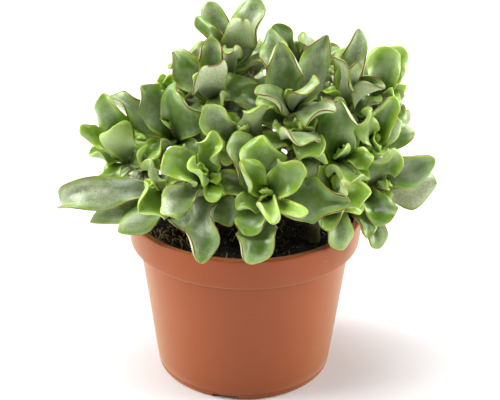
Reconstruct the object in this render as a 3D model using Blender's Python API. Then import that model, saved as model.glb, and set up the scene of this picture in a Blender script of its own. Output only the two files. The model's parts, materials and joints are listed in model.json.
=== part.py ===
"""Potted curly silver jade, a bushy succulent in a round plastic nursery pot.

The origin is on the ground at the middle of the pot's foot, +Z is up and the best side faces -Y.
Eleven rooted stems stand in plain holes in the soil. Each branches into a few leafy shoots, and
its stem, branches and leaves are fused into one solid. Run it with
blender --background --python part.py, or from the text editor.
"""

import math
from random import Random

import bmesh
import bpy
from mathutils import Quaternion, Vector
from mathutils.bvhtree import BVHTree

MM = 0.001

# The pot: a 12 cm nursery pot with a collar round its top
RIM_RADIUS = 60.0
POT_HEIGHT = 87.6
COLLAR_BOTTOM_Z = 71.8
COLLAR_BOTTOM_RADIUS = 59.1
BODY_TOP_RADIUS = 54.7
FOOT_RADIUS = 45.4
WALL = 1.3
LIP_WIDTH = 3.6
LIP_DEPTH = 3.2
LIP_ROUNDING = 1.0
FOOT_ROUNDING = 1.4
FLOOR = 1.6
POT_SIDES = 40

# Drain channels under the foot, one of them at the front, a little to the left
CHANNELS = 3
FIRST_CHANNEL_DEG = -11.8
CHANNEL_WIDTH = 13.5
CHANNEL_HEIGHT = 2.2
CHANNEL_INNER_RADIUS = 22.0
CHANNEL_ROUNDING = 1.2
DRAIN_HOLE_RADIUS = 3.5
DRAIN_HOLE_AT = 31.0

# The soil
GAP = 0.3
SOIL_LEVEL = 81.5
SOIL_EDGE_DROP = 1.0
HOLE_DEPTH = 20.0

# Stems
STEM_SIDES = 5
FOOT_STEM_RADIUS = 3.1
TIP_STEM_RADIUS = 1.9
FORK_HEIGHT = 12.0
BRANCH_RINGS = 4

# Leaves
LEAF_THICKNESS = 2.1
MIDRIB_STEPS = 24
NECK = 0.22
WIDEST_AT = 0.62
LEAF_CLEARANCE = 0.4
ROOT_OFFSET = 0.7
SHORTEST_EDGE = 0.005
THINNEST_FACE = 0.0035
SWELL_STEP = 0.012
TURN_STEP_DEG = 5.0
FUSE_TRIES = 20
FIRST_TRY = {"stem_front": 11}
FRONT = Vector((0, -0.9, 0.43))
GROWTH_SEED = 7
TRIES = 90

# The growth of a shoot from its tip down: how far below the tip each pair of leaves stands,
# how long it is, how steeply it rises from the stem and how much it curls back
PAIR_DROP = (1.5, 3.6, 6.6, 10.5, 15.2, 20.5, 26.5)
PAIR_LENGTH = (12.0, 17.5, 22.0, 25.5, 28.0, 29.0, 28.0)
PAIR_RISE_DEG = (62, 52, 43, 33, 23, 12, 0)
PAIR_BEND_DEG = (10, 20, 32, 42, 50, 58, 64)

# Rooted stems: name, and where the foot stands in the soil
STEMS = (
    ("stem_front_left", (-22, -24)),
    ("stem_front", (8, -28)),
    ("stem_front_right", (34.5, -24.5)),
    ("stem_left", (-35.2, -3.4)),
    ("stem_upper_left", (-16, 4)),
    ("stem_upper_middle", (10, -6)),
    ("stem_right", (37, 4)),
    ("stem_right_low", (45, -11)),
    ("stem_back_left", (-26, 27)),
    ("stem_back", (2, 35)),
    ("stem_back_right", (28, 29)),
)

# Shoots: name, stem, place of the tip, the way the tip leans, pairs of leaves, scale of the leaves
SHOOTS = (
    ("front_left", "stem_front_left", (-19, -44, 125), (-0.15, -0.65, 0.75), 5, 0.90),
    ("left_low", "stem_front_left", (-42, -30, 111), (-0.60, -0.55, 0.60), 5, 0.90),
    ("small_left", "stem_front_left", (-2, -32, 141), (0.00, -0.35, 0.94), 6, 0.85),
    ("front_middle", "stem_front", (9, -50, 119), (0.05, -0.70, 0.72), 4, 0.95),
    ("middle", "stem_front", (26, -34, 145), (0.05, -0.50, 0.86), 6, 0.90),
    ("low_right", "stem_front_right", (45, -40, 113), (0.40, -0.75, 0.50), 4, 0.85),
    ("dark_right", "stem_front_right", (46, -30, 131), (-0.10, -0.50, 0.86), 5, 1.03),
    ("left_bright", "stem_left", (-62, -12, 122), (-0.35, -0.25, 0.90), 6, 0.90),
    ("left_middle", "stem_left", (-36, -12, 136), (-0.40, -0.35, 0.85), 6, 1.00),
    ("upper_left", "stem_upper_left", (-18, -12, 157), (-0.20, -0.40, 0.90), 6, 0.95),
    ("left_small", "stem_upper_left", (-40, 8, 149), (-0.50, 0.00, 0.86), 5, 0.75),
    ("top_left", "stem_upper_left", (-8, 8, 170), (-0.10, -0.05, 1.00), 6, 0.90),
    ("upper_middle", "stem_upper_middle", (21, -26, 155), (0.00, -0.50, 0.86), 6, 1.00),
    ("top_back", "stem_upper_middle", (29, 16, 164), (0.10, 0.10, 1.00), 6, 0.85),
    ("upper_right", "stem_right", (50, -6, 153), (0.10, -0.20, 0.97), 6, 0.90),
    ("right_bright", "stem_right", (71, 4, 152), (0.60, -0.15, 0.80), 6, 0.85),
    ("right_middle", "stem_right", (62, -14, 131), (0.55, -0.40, 0.73), 5, 0.90),
    ("right_low", "stem_right_low", (66, -20, 111), (0.75, -0.45, 0.50), 6, 0.95),
    ("back_left", "stem_back_left", (-48, 42, 124), (-0.50, 0.50, 0.70), 6, 0.90),
    ("back_left_low", "stem_back_left", (-64, 22, 110), (-0.80, 0.25, 0.50), 4, 0.95),
    ("back_left_high", "stem_back_left", (-30, 34, 150), (-0.30, 0.35, 0.88), 6, 0.85),
    ("back_low", "stem_back", (-12, 56, 120), (-0.15, 0.75, 0.65), 5, 0.95),
    ("back_high", "stem_back", (2, 36, 158), (0.00, 0.30, 0.95), 6, 0.90),
    ("back_right", "stem_back_right", (28, 57, 120), (0.25, 0.75, 0.60), 5, 0.95),
    ("back_right_far", "stem_back_right", (60, 36, 126), (0.70, 0.40, 0.60), 6, 0.90),
    ("back_right_high", "stem_back_right", (40, 36, 151), (0.30, 0.30, 0.90), 6, 0.85),
)

# Leaves that give the bush its outline: shoot, how far below its tip the leaf is rooted,
# place of the leaf's tip, width, curl back in degrees, and how far its face is turned from the
# shoot's middle to the front, or with a minus away from it
POSED_LEAVES = (
    ("left_bright", 8, (-76, -14, 137), 12, 15, 0.5),
    ("left_bright", 6, (-71, -12, 154), 16, 15, 0.7),
    ("left_bright", 4, (-62, -26, 143), 14, 5, -0.8),
    ("left_bright", 8, (-51, -22, 141), 14, 15, 0.5),
    ("left_low", 16, (-76, -32, 94), 11, 45, 0.3),
    ("left_low", 6, (-91, -22, 97), 14, 95, 0.1),
    ("left_low", 15, (-62, -42, 95), 14, 35, 0.4),
    ("left_low", 5, (-50, -50, 108), 17, 50, 0.9),
    ("left_low", 3, (-44, -44, 133), 11, 25, 0.3),
    ("front_left", 7, (-38, -52, 139), 17, 25, 0.4),
    ("front_left", 3, (-26, -62, 136), 10, 25, 0.5),
    ("front_left", 6, (-15, -44, 148), 12, 15, 0.8),
    ("front_left", 13, (-39, -60, 112), 13, 55, 0.5),
    ("front_left", 9, (-29, -66, 110), 19, 40, 0.7),
    ("front_left", 14, (-20, -67, 90), 15, 40, 0.9),
    ("front_middle", 7, (8, -44, 146), 19, 20, 1.0),
    ("front_middle", 4, (-7, -58, 142), 14, 30, 0.6),
    ("front_middle", 9, (-5, -38, 145), 16, 30, 0.9),
    ("front_middle", 5, (26, -60, 139), 15, 30, 0.6),
    ("front_middle", 3, (26, -72, 129), 9, -30, 0.2),
    ("front_middle", 4, (-3, -76, 130), 10, 35, 0.3),
    ("front_middle", 6, (13, -76, 116), 11, 30, 0.4),
    ("front_middle", 10, (49, -58, 119), 17, 35, 0.8),
    ("front_middle", 13, (2, -67, 90), 17, 40, 0.9),
    ("front_middle", 12, (40, -48, 137), 15, 40, 0.7),
    ("upper_left", 9, (-36, 4, 170), 14, 30, 0.9),
    ("upper_left", 7, (-30, 6, 173), 12, 30, 0.9),
    ("upper_left", 8, (-17, -8, 182), 13, 10, 0.5),
    ("upper_left", 6, (-17, -34, 176), 16, 5, -0.9),
    ("upper_left", 11, (-31, -27, 168), 11, 25, -0.5),
    ("left_middle", 12, (-68, 2, 147), 13, 45, 0.3),
    ("left_middle", 8, (-49, -14, 156), 18, 25, 0.4),
    ("left_middle", 5, (-31, -30, 160), 21, 10, 0.7),
    ("small_left", 10, (-20, -36, 157), 14, 20, 0.9),
    ("small_left", 7, (8, -40, 159), 13, 25, -0.7),
    ("top_left", 8, (-19, 12, 193), 12, 5, 0.9),
    ("top_left", 9, (4, 12, 191), 18, 15, 0.9),
    ("top_left", 4, (-4, 14, 189), 10, 10, 0.9),
    ("top_left", 5, (-2, -8, 190), 13, 20, -0.9),
    ("top_left", 3, (-18, -2, 187), 9, 10, 0.6),
    ("top_left", 7, (9, 6, 184), 14, 30, 0.8),
    ("top_left", 12, (-13, -20, 178), 10, 50, 0.0),
    ("upper_middle", 7, (15, -28, 186), 16, 10, 0.9),
    ("upper_middle", 9, (35, -22, 185), 18, 15, 0.7),
    ("upper_middle", 5, (25, -33, 184), 10, 20, -0.4),
    ("upper_middle", 9, (4, -44, 167), 13, 55, 0.2),
    ("upper_middle", 5, (33, -46, 172), 10, 40, 0.0),
    ("upper_middle", 10, (41, -50, 160), 14, 40, 0.3),
    ("upper_middle", 12, (11, -4, 185), 13, 10, 0.9),
    ("top_back", 8, (27, 10, 178), 18, 45, 0.4),
    ("top_back", 6, (29, 8, 181), 16, 15, 0.9),
    ("top_back", 9, (43, 10, 180), 13, 40, 0.4),
    ("top_back", 4, (36, 14, 177), 12, 10, 0.8),
    ("top_back", 10, (13, 8, 183), 12, 20, 0.8),
    ("upper_right", 8, (54, 0, 184), 13, 10, 0.9),
    ("upper_right", 8, (41, -16, 172), 15, 35, 0.4),
    ("upper_right", 5, (50, -14, 176), 9, 15, -0.7),
    ("upper_right", 12, (67, -16, 160), 15, 50, 0.3),
    ("upper_right", 9, (47, 6, 174), 12, 20, 0.8),
    ("right_bright", 8, (68, 4, 174), 16, 20, 0.9),
    ("right_bright", 7, (78, 10, 171), 13, 20, 0.8),
    ("right_bright", 9, (79, 6, 148), 11, 40, -0.6),
    ("right_middle", 8, (72, -12, 154), 15, 25, 0.8),
    ("right_middle", 9, (77, -20, 143), 15, 30, -0.8),
    ("right_middle", 12, (82, -6, 135), 13, 30, 0.8),
    ("right_middle", 6, (60, -30, 153), 15, 15, 0.6),
    ("right_low", 6, (70, -30, 134), 15, 15, 0.7),
    ("right_low", 4, (77, -36, 128), 13, 20, -0.6),
    ("right_low", 8, (91, -18, 122), 17, 25, 0.5),
    ("right_low", 12, (95, -16, 110), 18, 35, -0.8),
    ("right_low", 11, (75, -34, 104), 18, 45, 0.8),
    ("right_low", 14, (66, -36, 97), 14, 50, 0.7),
    ("right_low", 17, (67, -32, 81), 14, 50, 0.6),
    ("low_right", 10, (47, -46, 87), 13, 40, 0.5),
    ("low_right", 4, (59, -52, 121), 11, 40, 0.3),
    ("low_right", 4, (43, -56, 130), 9, 25, 0.6),
    ("middle", 9, (25, -60, 147), 16, 70, 0.5),
    ("middle", 10, (11, -46, 157), 13, 40, 0.5),
    ("middle", 7, (34, -50, 138), 13, 40, 0.4),
    ("dark_right", 9, (43, -42, 163), 17, 5, 0.8),
    ("left_small", 3, (-36, 2, 159), 8, 10, 0.8),
    ("left_small", 3, (-31, 6, 158), 8, 10, 0.8),
    ("left_small", 5, (-42, 2, 155), 10, 30, 0.3),
)


def smooth(x):
    """Eases from 0 to 1 as x goes from 0 to 1."""
    x = min(1.0, max(0.0, x))
    return x * x * (3 - 2 * x)


class Leaf:
    """One leaf: where it is rooted, which way it starts and faces, and how it is shaped."""

    def __init__(self, root, ahead, face, length, width, bend, rng):
        self.root = root
        self.ahead = ahead.normalized()
        self.face = (face - self.ahead * face.dot(self.ahead)).normalized()
        self.length = length
        self.width = width
        self.bend = bend
        self.sway = math.radians(rng.uniform(-25, 25))
        self.twist = math.radians(rng.uniform(-38, 38))
        self.fold = math.radians(rng.uniform(2, 40))
        self.curl = math.radians(rng.uniform(55, 115)) * min(1.0, length / 16)
        self.turns = rng.uniform(0.85, 1.35)
        self.phase = (rng.uniform(0, 2 * math.pi), rng.uniform(0, 2 * math.pi))
        self.lobes = rng.uniform(0.04, 0.24)
        self.bluntness = rng.uniform(1.3, 3.0)
        self.thickness = LEAF_THICKNESS * min(1.0, 0.45 + length / 40)

    def midrib(self):
        """Points along the middle of the blade, each with the way ahead and the way it faces."""
        point = self.root.copy()
        ahead = self.ahead.copy()
        face = self.face.copy()
        step = self.length / MIDRIB_STEPS
        frames = [(point, ahead, face)]
        for i in range(MIDRIB_STEPS):
            share = (i + 0.5) / MIDRIB_STEPS
            pitch = self.bend * 2 * share / MIDRIB_STEPS
            yaw = self.sway / MIDRIB_STEPS
            roll = self.twist / MIDRIB_STEPS
            side = ahead.cross(face)
            new_ahead = ahead - face * pitch + side * yaw
            new_face = face + ahead * pitch + side * roll
            ahead = new_ahead.normalized()
            face = (new_face - ahead * new_face.dot(ahead)).normalized()
            point = point + ahead * step
            frames.append((point, ahead, face))
        return frames

    def half_width(self, t, side):
        """Half the blade's width at t, from 0 at the root to 1 at the tip: a wedge, then a round end."""
        lobe = math.sin(2 * math.pi * (self.turns + 0.7) * t + 2 * self.phase[side])
        half = self.width / 2 * (1 + self.lobes * lobe * smooth(t / 0.5))
        if t < WIDEST_AT:
            share = (t / WIDEST_AT) ** 1.1
            return half * (NECK + (1 - NECK) * share * (2 - share))
        past = (t - WIDEST_AT) / (1 - WIDEST_AT)
        return half * max(0.0, 1 - past**self.bluntness) ** 0.64

    def margin_curl(self, t, side):
        """The angle that the blade turns through from its midrib to a margin, above 0 towards its face."""
        wave = math.sin(2 * math.pi * self.turns * t + self.phase[side])
        return self.fold + self.curl * wave * smooth((t - 0.08) / 0.4) + 1e-6

    def point(self, frame, t, s, lift, swell=0.0):
        """A point of the blade: s is -1 and 1 at its margins, lift is 1 and -1 on its faces."""
        middle, ahead, face = frame
        side = ahead.cross(face) * (1 if s > 0 else -1)
        half = self.half_width(t, s > 0) + swell
        reach = abs(s)
        curl = self.margin_curl(t, s > 0)
        turn = curl * reach
        point = middle + (side * math.sin(turn) + face * (1 - math.cos(turn))) * (half / curl)
        normal = face * math.cos(turn) - side * math.sin(turn)
        return point + normal * (lift * (self.thickness / 2 + swell) * self.plumpness(t, reach))

    def plumpness(self, t, reach):
        """How thick the blade is there, as a share of its thickness at the middle."""
        return math.sqrt(max(0.0, 1 - reach**4)) * math.sqrt(max(0.0, 1 - t**10))


def blade_rows(length):
    """The steps along the midrib at which a blade of this length has a row of points."""
    if length < 15:
        return (9, 19)
    if length < 25:
        return (7, 15, 21)
    return (5, 11, 17, 22)


def blade_mesh(leaf, start=0, swell=0.0):
    """Points and triangles of a coarse blade, split alike on both faces, from its root or a step past it."""
    frames = leaf.midrib()
    points = []
    triangles = []
    steps = blade_rows(leaf.length)
    if start:
        steps = (start,) + tuple(step for step in steps if step > start)
    for step in steps:
        t = step / MIDRIB_STEPS
        for s, lift in ((-1, 0), (0, 1), (1, 0), (0, -1)):
            points.append(leaf.point(frames[step], t, s, lift, swell))
    for row in range(len(steps) - 1):
        a = 4 * row
        b = a + 4
        for i in range(4):
            j = (i + 1) % 4
            if i in (0, 2):
                triangles += [(a + i, b + i, b + j), (a + i, b + j, a + j)]
            else:
                triangles += [(a + i, b + i, a + j), (a + j, b + i, b + j)]
    last = len(points) - 4
    tip_point, tip_ahead, _ = frames[-1]
    points.append(tip_point + tip_ahead * swell)
    triangles += [(last + i, last + 4, last + (i + 1) % 4) for i in range(4)]
    if start:
        triangles += [(0, 1, 2), (0, 2, 3)]
    else:
        points.append(leaf.root)
        triangles += [(last + 5, i, (i + 1) % 4) for i in range(4)]
    return points, triangles


def soil_height(x, y):
    """The top of the soil, heaped a little to the left and lower at its edge."""
    out = math.hypot(x, y) / BODY_TOP_RADIUS
    heaps = 0.7 * math.sin(0.11 * x + 0.6) * math.cos(0.09 * y - 0.4)
    heaps += 0.4 * math.sin(0.23 * x - 0.19 * y)
    return SOIL_LEVEL + heaps - 0.02 * x - SOIL_EDGE_DROP * out**4


def clears_pot(points):
    """Whether points of a blade stay off the soil, the rim and the pot's wall."""
    for x, y, z in points:
        out = math.hypot(x, y)
        if out < RIM_RADIUS - LIP_WIDTH - 1 and z < soil_height(x, y) + 1.2:
            return False
        if RIM_RADIUS - LIP_WIDTH - 1 <= out < RIM_RADIUS + 1 and z < POT_HEIGHT + 1:
            return False
        if z < 4:
            return False
    return True


def between(points, triangles):
    """The points of a mesh and the middles of its triangles' sides."""
    middles = []
    for a, b, c in triangles:
        middles += [(points[a] + points[b]) / 2, (points[b] + points[c]) / 2, (points[a] + points[c]) / 2]
    return points + middles


class Thicket:
    """What has grown so far, so that a new blade can be kept clear of it."""

    def __init__(self):
        self.grown = []

    def add(self, shoot, points, triangles):
        middle = sum(points, Vector()) / len(points)
        radius = max((p - middle).length for p in points)
        self.grown.append((shoot, middle, radius, BVHTree.FromPolygons(points, triangles)))

    def is_clear(self, points, triangles, same_shoot, shoot):
        """Whether none of the leaves of this shoot, or nothing that isn't on it, crosses this mesh."""
        middle = sum(points, Vector()) / len(points)
        radius = max((p - middle).length for p in points)
        tree = BVHTree.FromPolygons(points, triangles)
        for other_shoot, other_middle, other_radius, other in self.grown:
            if (other_shoot == shoot) != same_shoot:
                continue
            if (other_middle - middle).length < radius + other_radius and tree.overlap(other):
                return False
        return True


class Branch:
    """A bare branch from a fork to a shoot's tip, as points read from a cubic curve."""

    def __init__(self, start, tip, lean):
        span = (tip - start).length
        leave = Vector((0, 0, 1)) * span * 0.38
        arrive = lean.normalized() * span * 0.38
        self.controls = (start, start + leave, tip - arrive, tip)
        self.length = sum(
            (self.at((i + 1) / 40) - self.at(i / 40)).length for i in range(40)
        )

    def at(self, u):
        a, b, c, d = self.controls
        v = 1 - u
        return a * v**3 + b * 3 * u * v * v + c * 3 * u * u * v + d * u**3

    def along(self, u):
        a, b, c, d = self.controls
        v = 1 - u
        slope = (b - a) * v * v + (c - b) * 2 * u * v + (d - c) * u * u
        return slope.normalized()

    def below_tip(self, drop):
        """The curve's parameter that far below the tip."""
        return max(0.0, 1 - drop / self.length)

    def radius(self, u):
        return FOOT_STEM_RADIUS * 0.85 + (TIP_STEM_RADIUS - FOOT_STEM_RADIUS * 0.85) * u


def tube(centres, directions, radii, sides, turned_by=0.0):
    """Points and triangles of a closed tube through the centres, pointed at its far end."""
    points = []
    triangles = []
    across = directions[0].orthogonal().normalized()
    across.rotate(Quaternion(directions[0], turned_by))
    for centre, ahead, radius in zip(centres, directions, radii):
        across = (across - ahead * across.dot(ahead)).normalized()
        side = ahead.cross(across)
        for i in range(sides):
            turn = 2 * math.pi * i / sides
            points.append(centre + (across * math.cos(turn) + side * math.sin(turn)) * radius)
    for ring in range(len(centres) - 1):
        for i in range(sides):
            a = ring * sides + i
            b = ring * sides + (i + 1) % sides
            triangles += [(a, b, b + sides), (a, b + sides, a + sides)]
    first = len(points)
    points += [centres[0], centres[-1] + directions[-1] * radii[-1]]
    last = (len(centres) - 1) * sides
    for i in range(sides):
        j = (i + 1) % sides
        triangles += [(first, j, i), (first + 1, last + i, last + j)]
    return points, triangles


def foot_mesh(foot):
    """The upright foot of a stem, from its hole in the soil up to the fork."""
    x, y = foot
    ground = soil_height(x, y)
    heights = (ground - HOLE_DEPTH + GAP, ground + 1, ground + FORK_HEIGHT)
    up = Vector((0, 0, 1))
    centres = [Vector((x, y, z)) for z in heights]
    return tube(centres, [up] * 3, [FOOT_STEM_RADIUS] * 3, STEM_SIDES)


def branch_mesh(branch, turned_by=0.0):
    """A branch's own solid."""
    shares = [i / (BRANCH_RINGS - 1) for i in range(BRANCH_RINGS)]
    centres = [branch.at(u) for u in shares]
    directions = [branch.along(u) for u in shares]
    radii = [branch.radius(u) for u in shares]
    return tube(centres, directions, radii, STEM_SIDES, turned_by)


def posed_leaf(branch, drop, tip, width, bend, facing, rng, jitter):
    """A leaf from its shoot to a tip at a chosen place."""
    u = branch.below_tip(drop)
    axis = branch.along(u)
    centre = branch.at(u)
    target = Vector(tip) + Vector([rng.gauss(0, jitter) for _ in range(3)])
    out = target - centre
    out = (out - axis * out.dot(axis)).normalized()
    root = centre + out * ROOT_OFFSET
    chord = target - root
    inward = branch.at(1) + branch.along(1) * 14 - (root + target) / 2
    face = inward.normalized() * (1 - abs(facing)) + FRONT * (facing + rng.gauss(0, 0.05 * jitter))
    face = (face - chord * face.dot(chord) / chord.length_squared).normalized()
    curl = math.radians(bend)
    raised = chord.normalized() * math.cos(curl * 0.42) + face * math.sin(curl * 0.42)
    length = chord.length * (1 + curl * curl / 22)
    leaf = Leaf(root, raised, face, length, width * 1.28, curl, rng)
    leaf.sway = 0.0
    leaf.twist *= 0.4
    reach = leaf.midrib()[-1][0] - root
    turn = reach.rotation_difference(chord)
    leaf.ahead.rotate(turn)
    leaf.face.rotate(turn)
    leaf.length *= chord.length / reach.length
    return leaf


def grown_leaf(branch, pair, side, spin, scale, rng, shrink):
    """A leaf of one of a shoot's pairs, by the rule of growth."""
    u = branch.below_tip(PAIR_DROP[pair])
    axis = branch.along(u)
    level = axis.orthogonal().normalized()
    turn = spin + pair * math.pi / 2 + side * math.pi + rng.gauss(0, 0.3)
    out = level * math.cos(turn) + axis.cross(level) * math.sin(turn)
    rise = math.radians(PAIR_RISE_DEG[pair] + rng.gauss(0, 13))
    ahead = out * math.cos(rise) + axis * math.sin(rise)
    face = axis * math.cos(rise) - out * math.sin(rise)
    length = PAIR_LENGTH[pair] * scale * shrink * rng.uniform(0.86, 1.1)
    width = length * rng.uniform(0.68, 0.86)
    bend = math.radians(PAIR_BEND_DEG[pair] * rng.uniform(0.4, 1.5))
    root = branch.at(u) + out * ROOT_OFFSET
    return Leaf(root, ahead, face, length, width, bend, rng)


def fits(leaf, thicket, shoot):
    """Whether a leaf's blade, past its root, clears the pot and all that has grown."""
    points, triangles = blade_mesh(leaf, 4, LEAF_CLEARANCE)
    outer = blade_mesh(leaf, 7, LEAF_CLEARANCE)
    return (
        clears_pot(between(points, triangles))
        and thicket.is_clear(points, triangles, False, shoot)
        and thicket.is_clear(*outer, True, shoot)
    )


def grow():
    """Grows all the leaves: {stem name: (foot, branches, leaves)}."""
    feet = dict(STEMS)
    thicket = Thicket()
    plants = {name: (foot, [], []) for name, foot in STEMS}
    branches = {}
    for name, foot in STEMS:
        thicket.add(None, *foot_mesh(foot))
    for name, stem, tip, lean, pairs, scale in SHOOTS:
        x, y = feet[stem]
        fork = Vector((x, y, soil_height(x, y) + FORK_HEIGHT - 2))
        branches[name] = Branch(fork, Vector(tip), Vector(lean))
        plants[stem][1].append(branches[name])
        thicket.add(name, *branch_mesh(branches[name]))

    def settle(stem, name, make):
        """Adds the first of the tried leaves that is clear."""
        for attempt in range(TRIES):
            leaf = make(attempt)
            if fits(leaf, thicket, name):
                thicket.add(name, *blade_mesh(leaf))
                plants[stem][2].append(leaf)
                return

    stem_of = {name: stem for name, stem, *_ in SHOOTS}
    for number, (name, drop, tip, width, bend, facing) in enumerate(POSED_LEAVES):
        rng = Random(GROWTH_SEED + 31 * number)
        settle(
            stem_of[name],
            name,
            lambda attempt: posed_leaf(
                branches[name], drop, tip, width * (1 - 0.003 * attempt), bend, facing, rng, 0.04 * attempt
            ),
        )
    most_pairs = max(pairs for *_, pairs, _ in SHOOTS)
    for pair in range(most_pairs):
        for number, (name, stem, _, _, pairs, scale) in enumerate(SHOOTS):
            if pair >= pairs:
                continue
            spin = Random(GROWTH_SEED + number).uniform(0, math.pi)
            for side in (0, 1):
                rng = Random(GROWTH_SEED + 10007 + 101 * number + 7 * pair + side)
                settle(
                    stem,
                    name,
                    lambda attempt: grown_leaf(
                        branches[name], pair, side, spin, scale, rng, 1 - 0.005 * attempt
                    ),
                )
    return plants


def material(name, colour, roughness):
    made = bpy.data.materials.new(name)
    made.use_nodes = True
    shader = made.node_tree.nodes["Principled BSDF"]
    shader.inputs["Base Color"].default_value = (*colour, 1)
    shader.inputs["Roughness"].default_value = roughness
    shader.inputs["Metallic"].default_value = 0
    return made


def mesh_object(name, points, faces, finish):
    """A new object from points in millimetres, its faces turned outwards."""
    mesh = bpy.data.meshes.new(name)
    mesh.from_pydata([tuple(c * MM for c in p) for p in points], [], faces)
    work = bmesh.new()
    work.from_mesh(mesh)
    if work.calc_volume(signed=True) < 0:
        bmesh.ops.reverse_faces(work, faces=work.faces)
        work.to_mesh(mesh)
    work.free()
    made = bpy.data.objects.new(name, mesh)
    bpy.context.scene.collection.objects.link(made)
    if finish:
        mesh.materials.append(finish)
    return made


def turned(name, profile, sides, finish):
    """A solid of revolution from (radius, height) points whose ends lie on the axis."""
    points = []
    rings = []
    for radius, z in profile:
        if radius < 1e-6:
            rings.append([len(points)])
            points.append(Vector((0, 0, z)))
            continue
        rings.append(list(range(len(points), len(points) + sides)))
        for i in range(sides):
            turn = 2 * math.pi * i / sides
            points.append(Vector((radius * math.cos(turn), radius * math.sin(turn), z)))
    faces = []
    for lower, upper in zip(rings, rings[1:]):
        for i in range(sides):
            j = (i + 1) % sides
            below = [lower[i % len(lower)], lower[j % len(lower)]]
            above = [upper[j % len(upper)], upper[i % len(upper)]]
            faces.append(tuple(dict.fromkeys(below + above)))
    return mesh_object(name, points, faces, finish)


def arc(centre, radius, start_deg, end_deg, steps):
    """Points of a round edge in a profile."""
    turns = [math.radians(start_deg + (end_deg - start_deg) * i / steps) for i in range(steps + 1)]
    return [(centre[0] + radius * math.cos(a), centre[1] + radius * math.sin(a)) for a in turns]


def body_radius(z):
    """The outer radius of the pot's tapered body at a height."""
    return FOOT_RADIUS + (BODY_TOP_RADIUS - FOOT_RADIUS) * z / COLLAR_BOTTOM_Z


def cutter(obj):
    """Keeps a helper out of the model."""
    obj.hide_render = True
    obj.display_type = "WIRE"
    return obj


def boolean(target, helper, operation):
    modifier = target.modifiers.new(helper.name, "BOOLEAN")
    modifier.operation = operation
    modifier.object = helper
    modifier.solver = "EXACT"


def channel_boxes(name, width, height, inner, bottom, rounding):
    """One box for each drain channel, lying along its radius under the foot."""
    work = bmesh.new()
    outer = FOOT_RADIUS + 4
    for i in range(CHANNELS):
        turn = math.radians(FIRST_CHANNEL_DEG - 90 + 360 * i / CHANNELS)
        corners = bmesh.ops.create_cube(work, size=1)["verts"]
        for corner in corners:
            along = inner + (outer - inner) * (corner.co.x + 0.5)
            across = width * corner.co.y
            z = bottom + (height - bottom) * (corner.co.z + 0.5)
            corner.co = (
                (along * math.cos(turn) - across * math.sin(turn)) * MM,
                (along * math.sin(turn) + across * math.cos(turn)) * MM,
                z * MM,
            )
        upper = {v for v in corners if v.co.z > height * MM - 1e-6}
        edges = [e for e in work.edges if e.verts[0] in upper and e.verts[1] in upper]
        long_edges = [e for e in edges if e.calc_length() > width * MM * 1.05]
        bmesh.ops.bevel(work, geom=long_edges, offset=rounding * MM, segments=2, affect="EDGES", profile=0.5)
    mesh = bpy.data.meshes.new(name)
    bmesh.ops.recalc_face_normals(work, faces=work.faces)
    work.to_mesh(mesh)
    work.free()
    made = bpy.data.objects.new(name, mesh)
    bpy.context.scene.collection.objects.link(made)
    return cutter(made)


def drain_holes():
    """Upright cutters, one through the ceiling of each channel."""
    points = []
    faces = []
    sides = 12
    for i in range(CHANNELS):
        turn = math.radians(FIRST_CHANNEL_DEG - 90 + 360 * i / CHANNELS)
        x = DRAIN_HOLE_AT * math.cos(turn)
        y = DRAIN_HOLE_AT * math.sin(turn)
        first = len(points)
        for z in (1.0, 6.0):
            for k in range(sides):
                a = 2 * math.pi * k / sides
                points.append((x + DRAIN_HOLE_RADIUS * math.cos(a), y + DRAIN_HOLE_RADIUS * math.sin(a), z))
        for k in range(sides):
            j = (k + 1) % sides
            faces.append((first + k, first + j, first + sides + j, first + sides + k))
        faces.append(tuple(range(first + sides - 1, first - 1, -1)))
        faces.append(tuple(range(first + sides, first + 2 * sides)))
    return cutter(mesh_object("drain_hole_cutter", points, faces, None))


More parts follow.
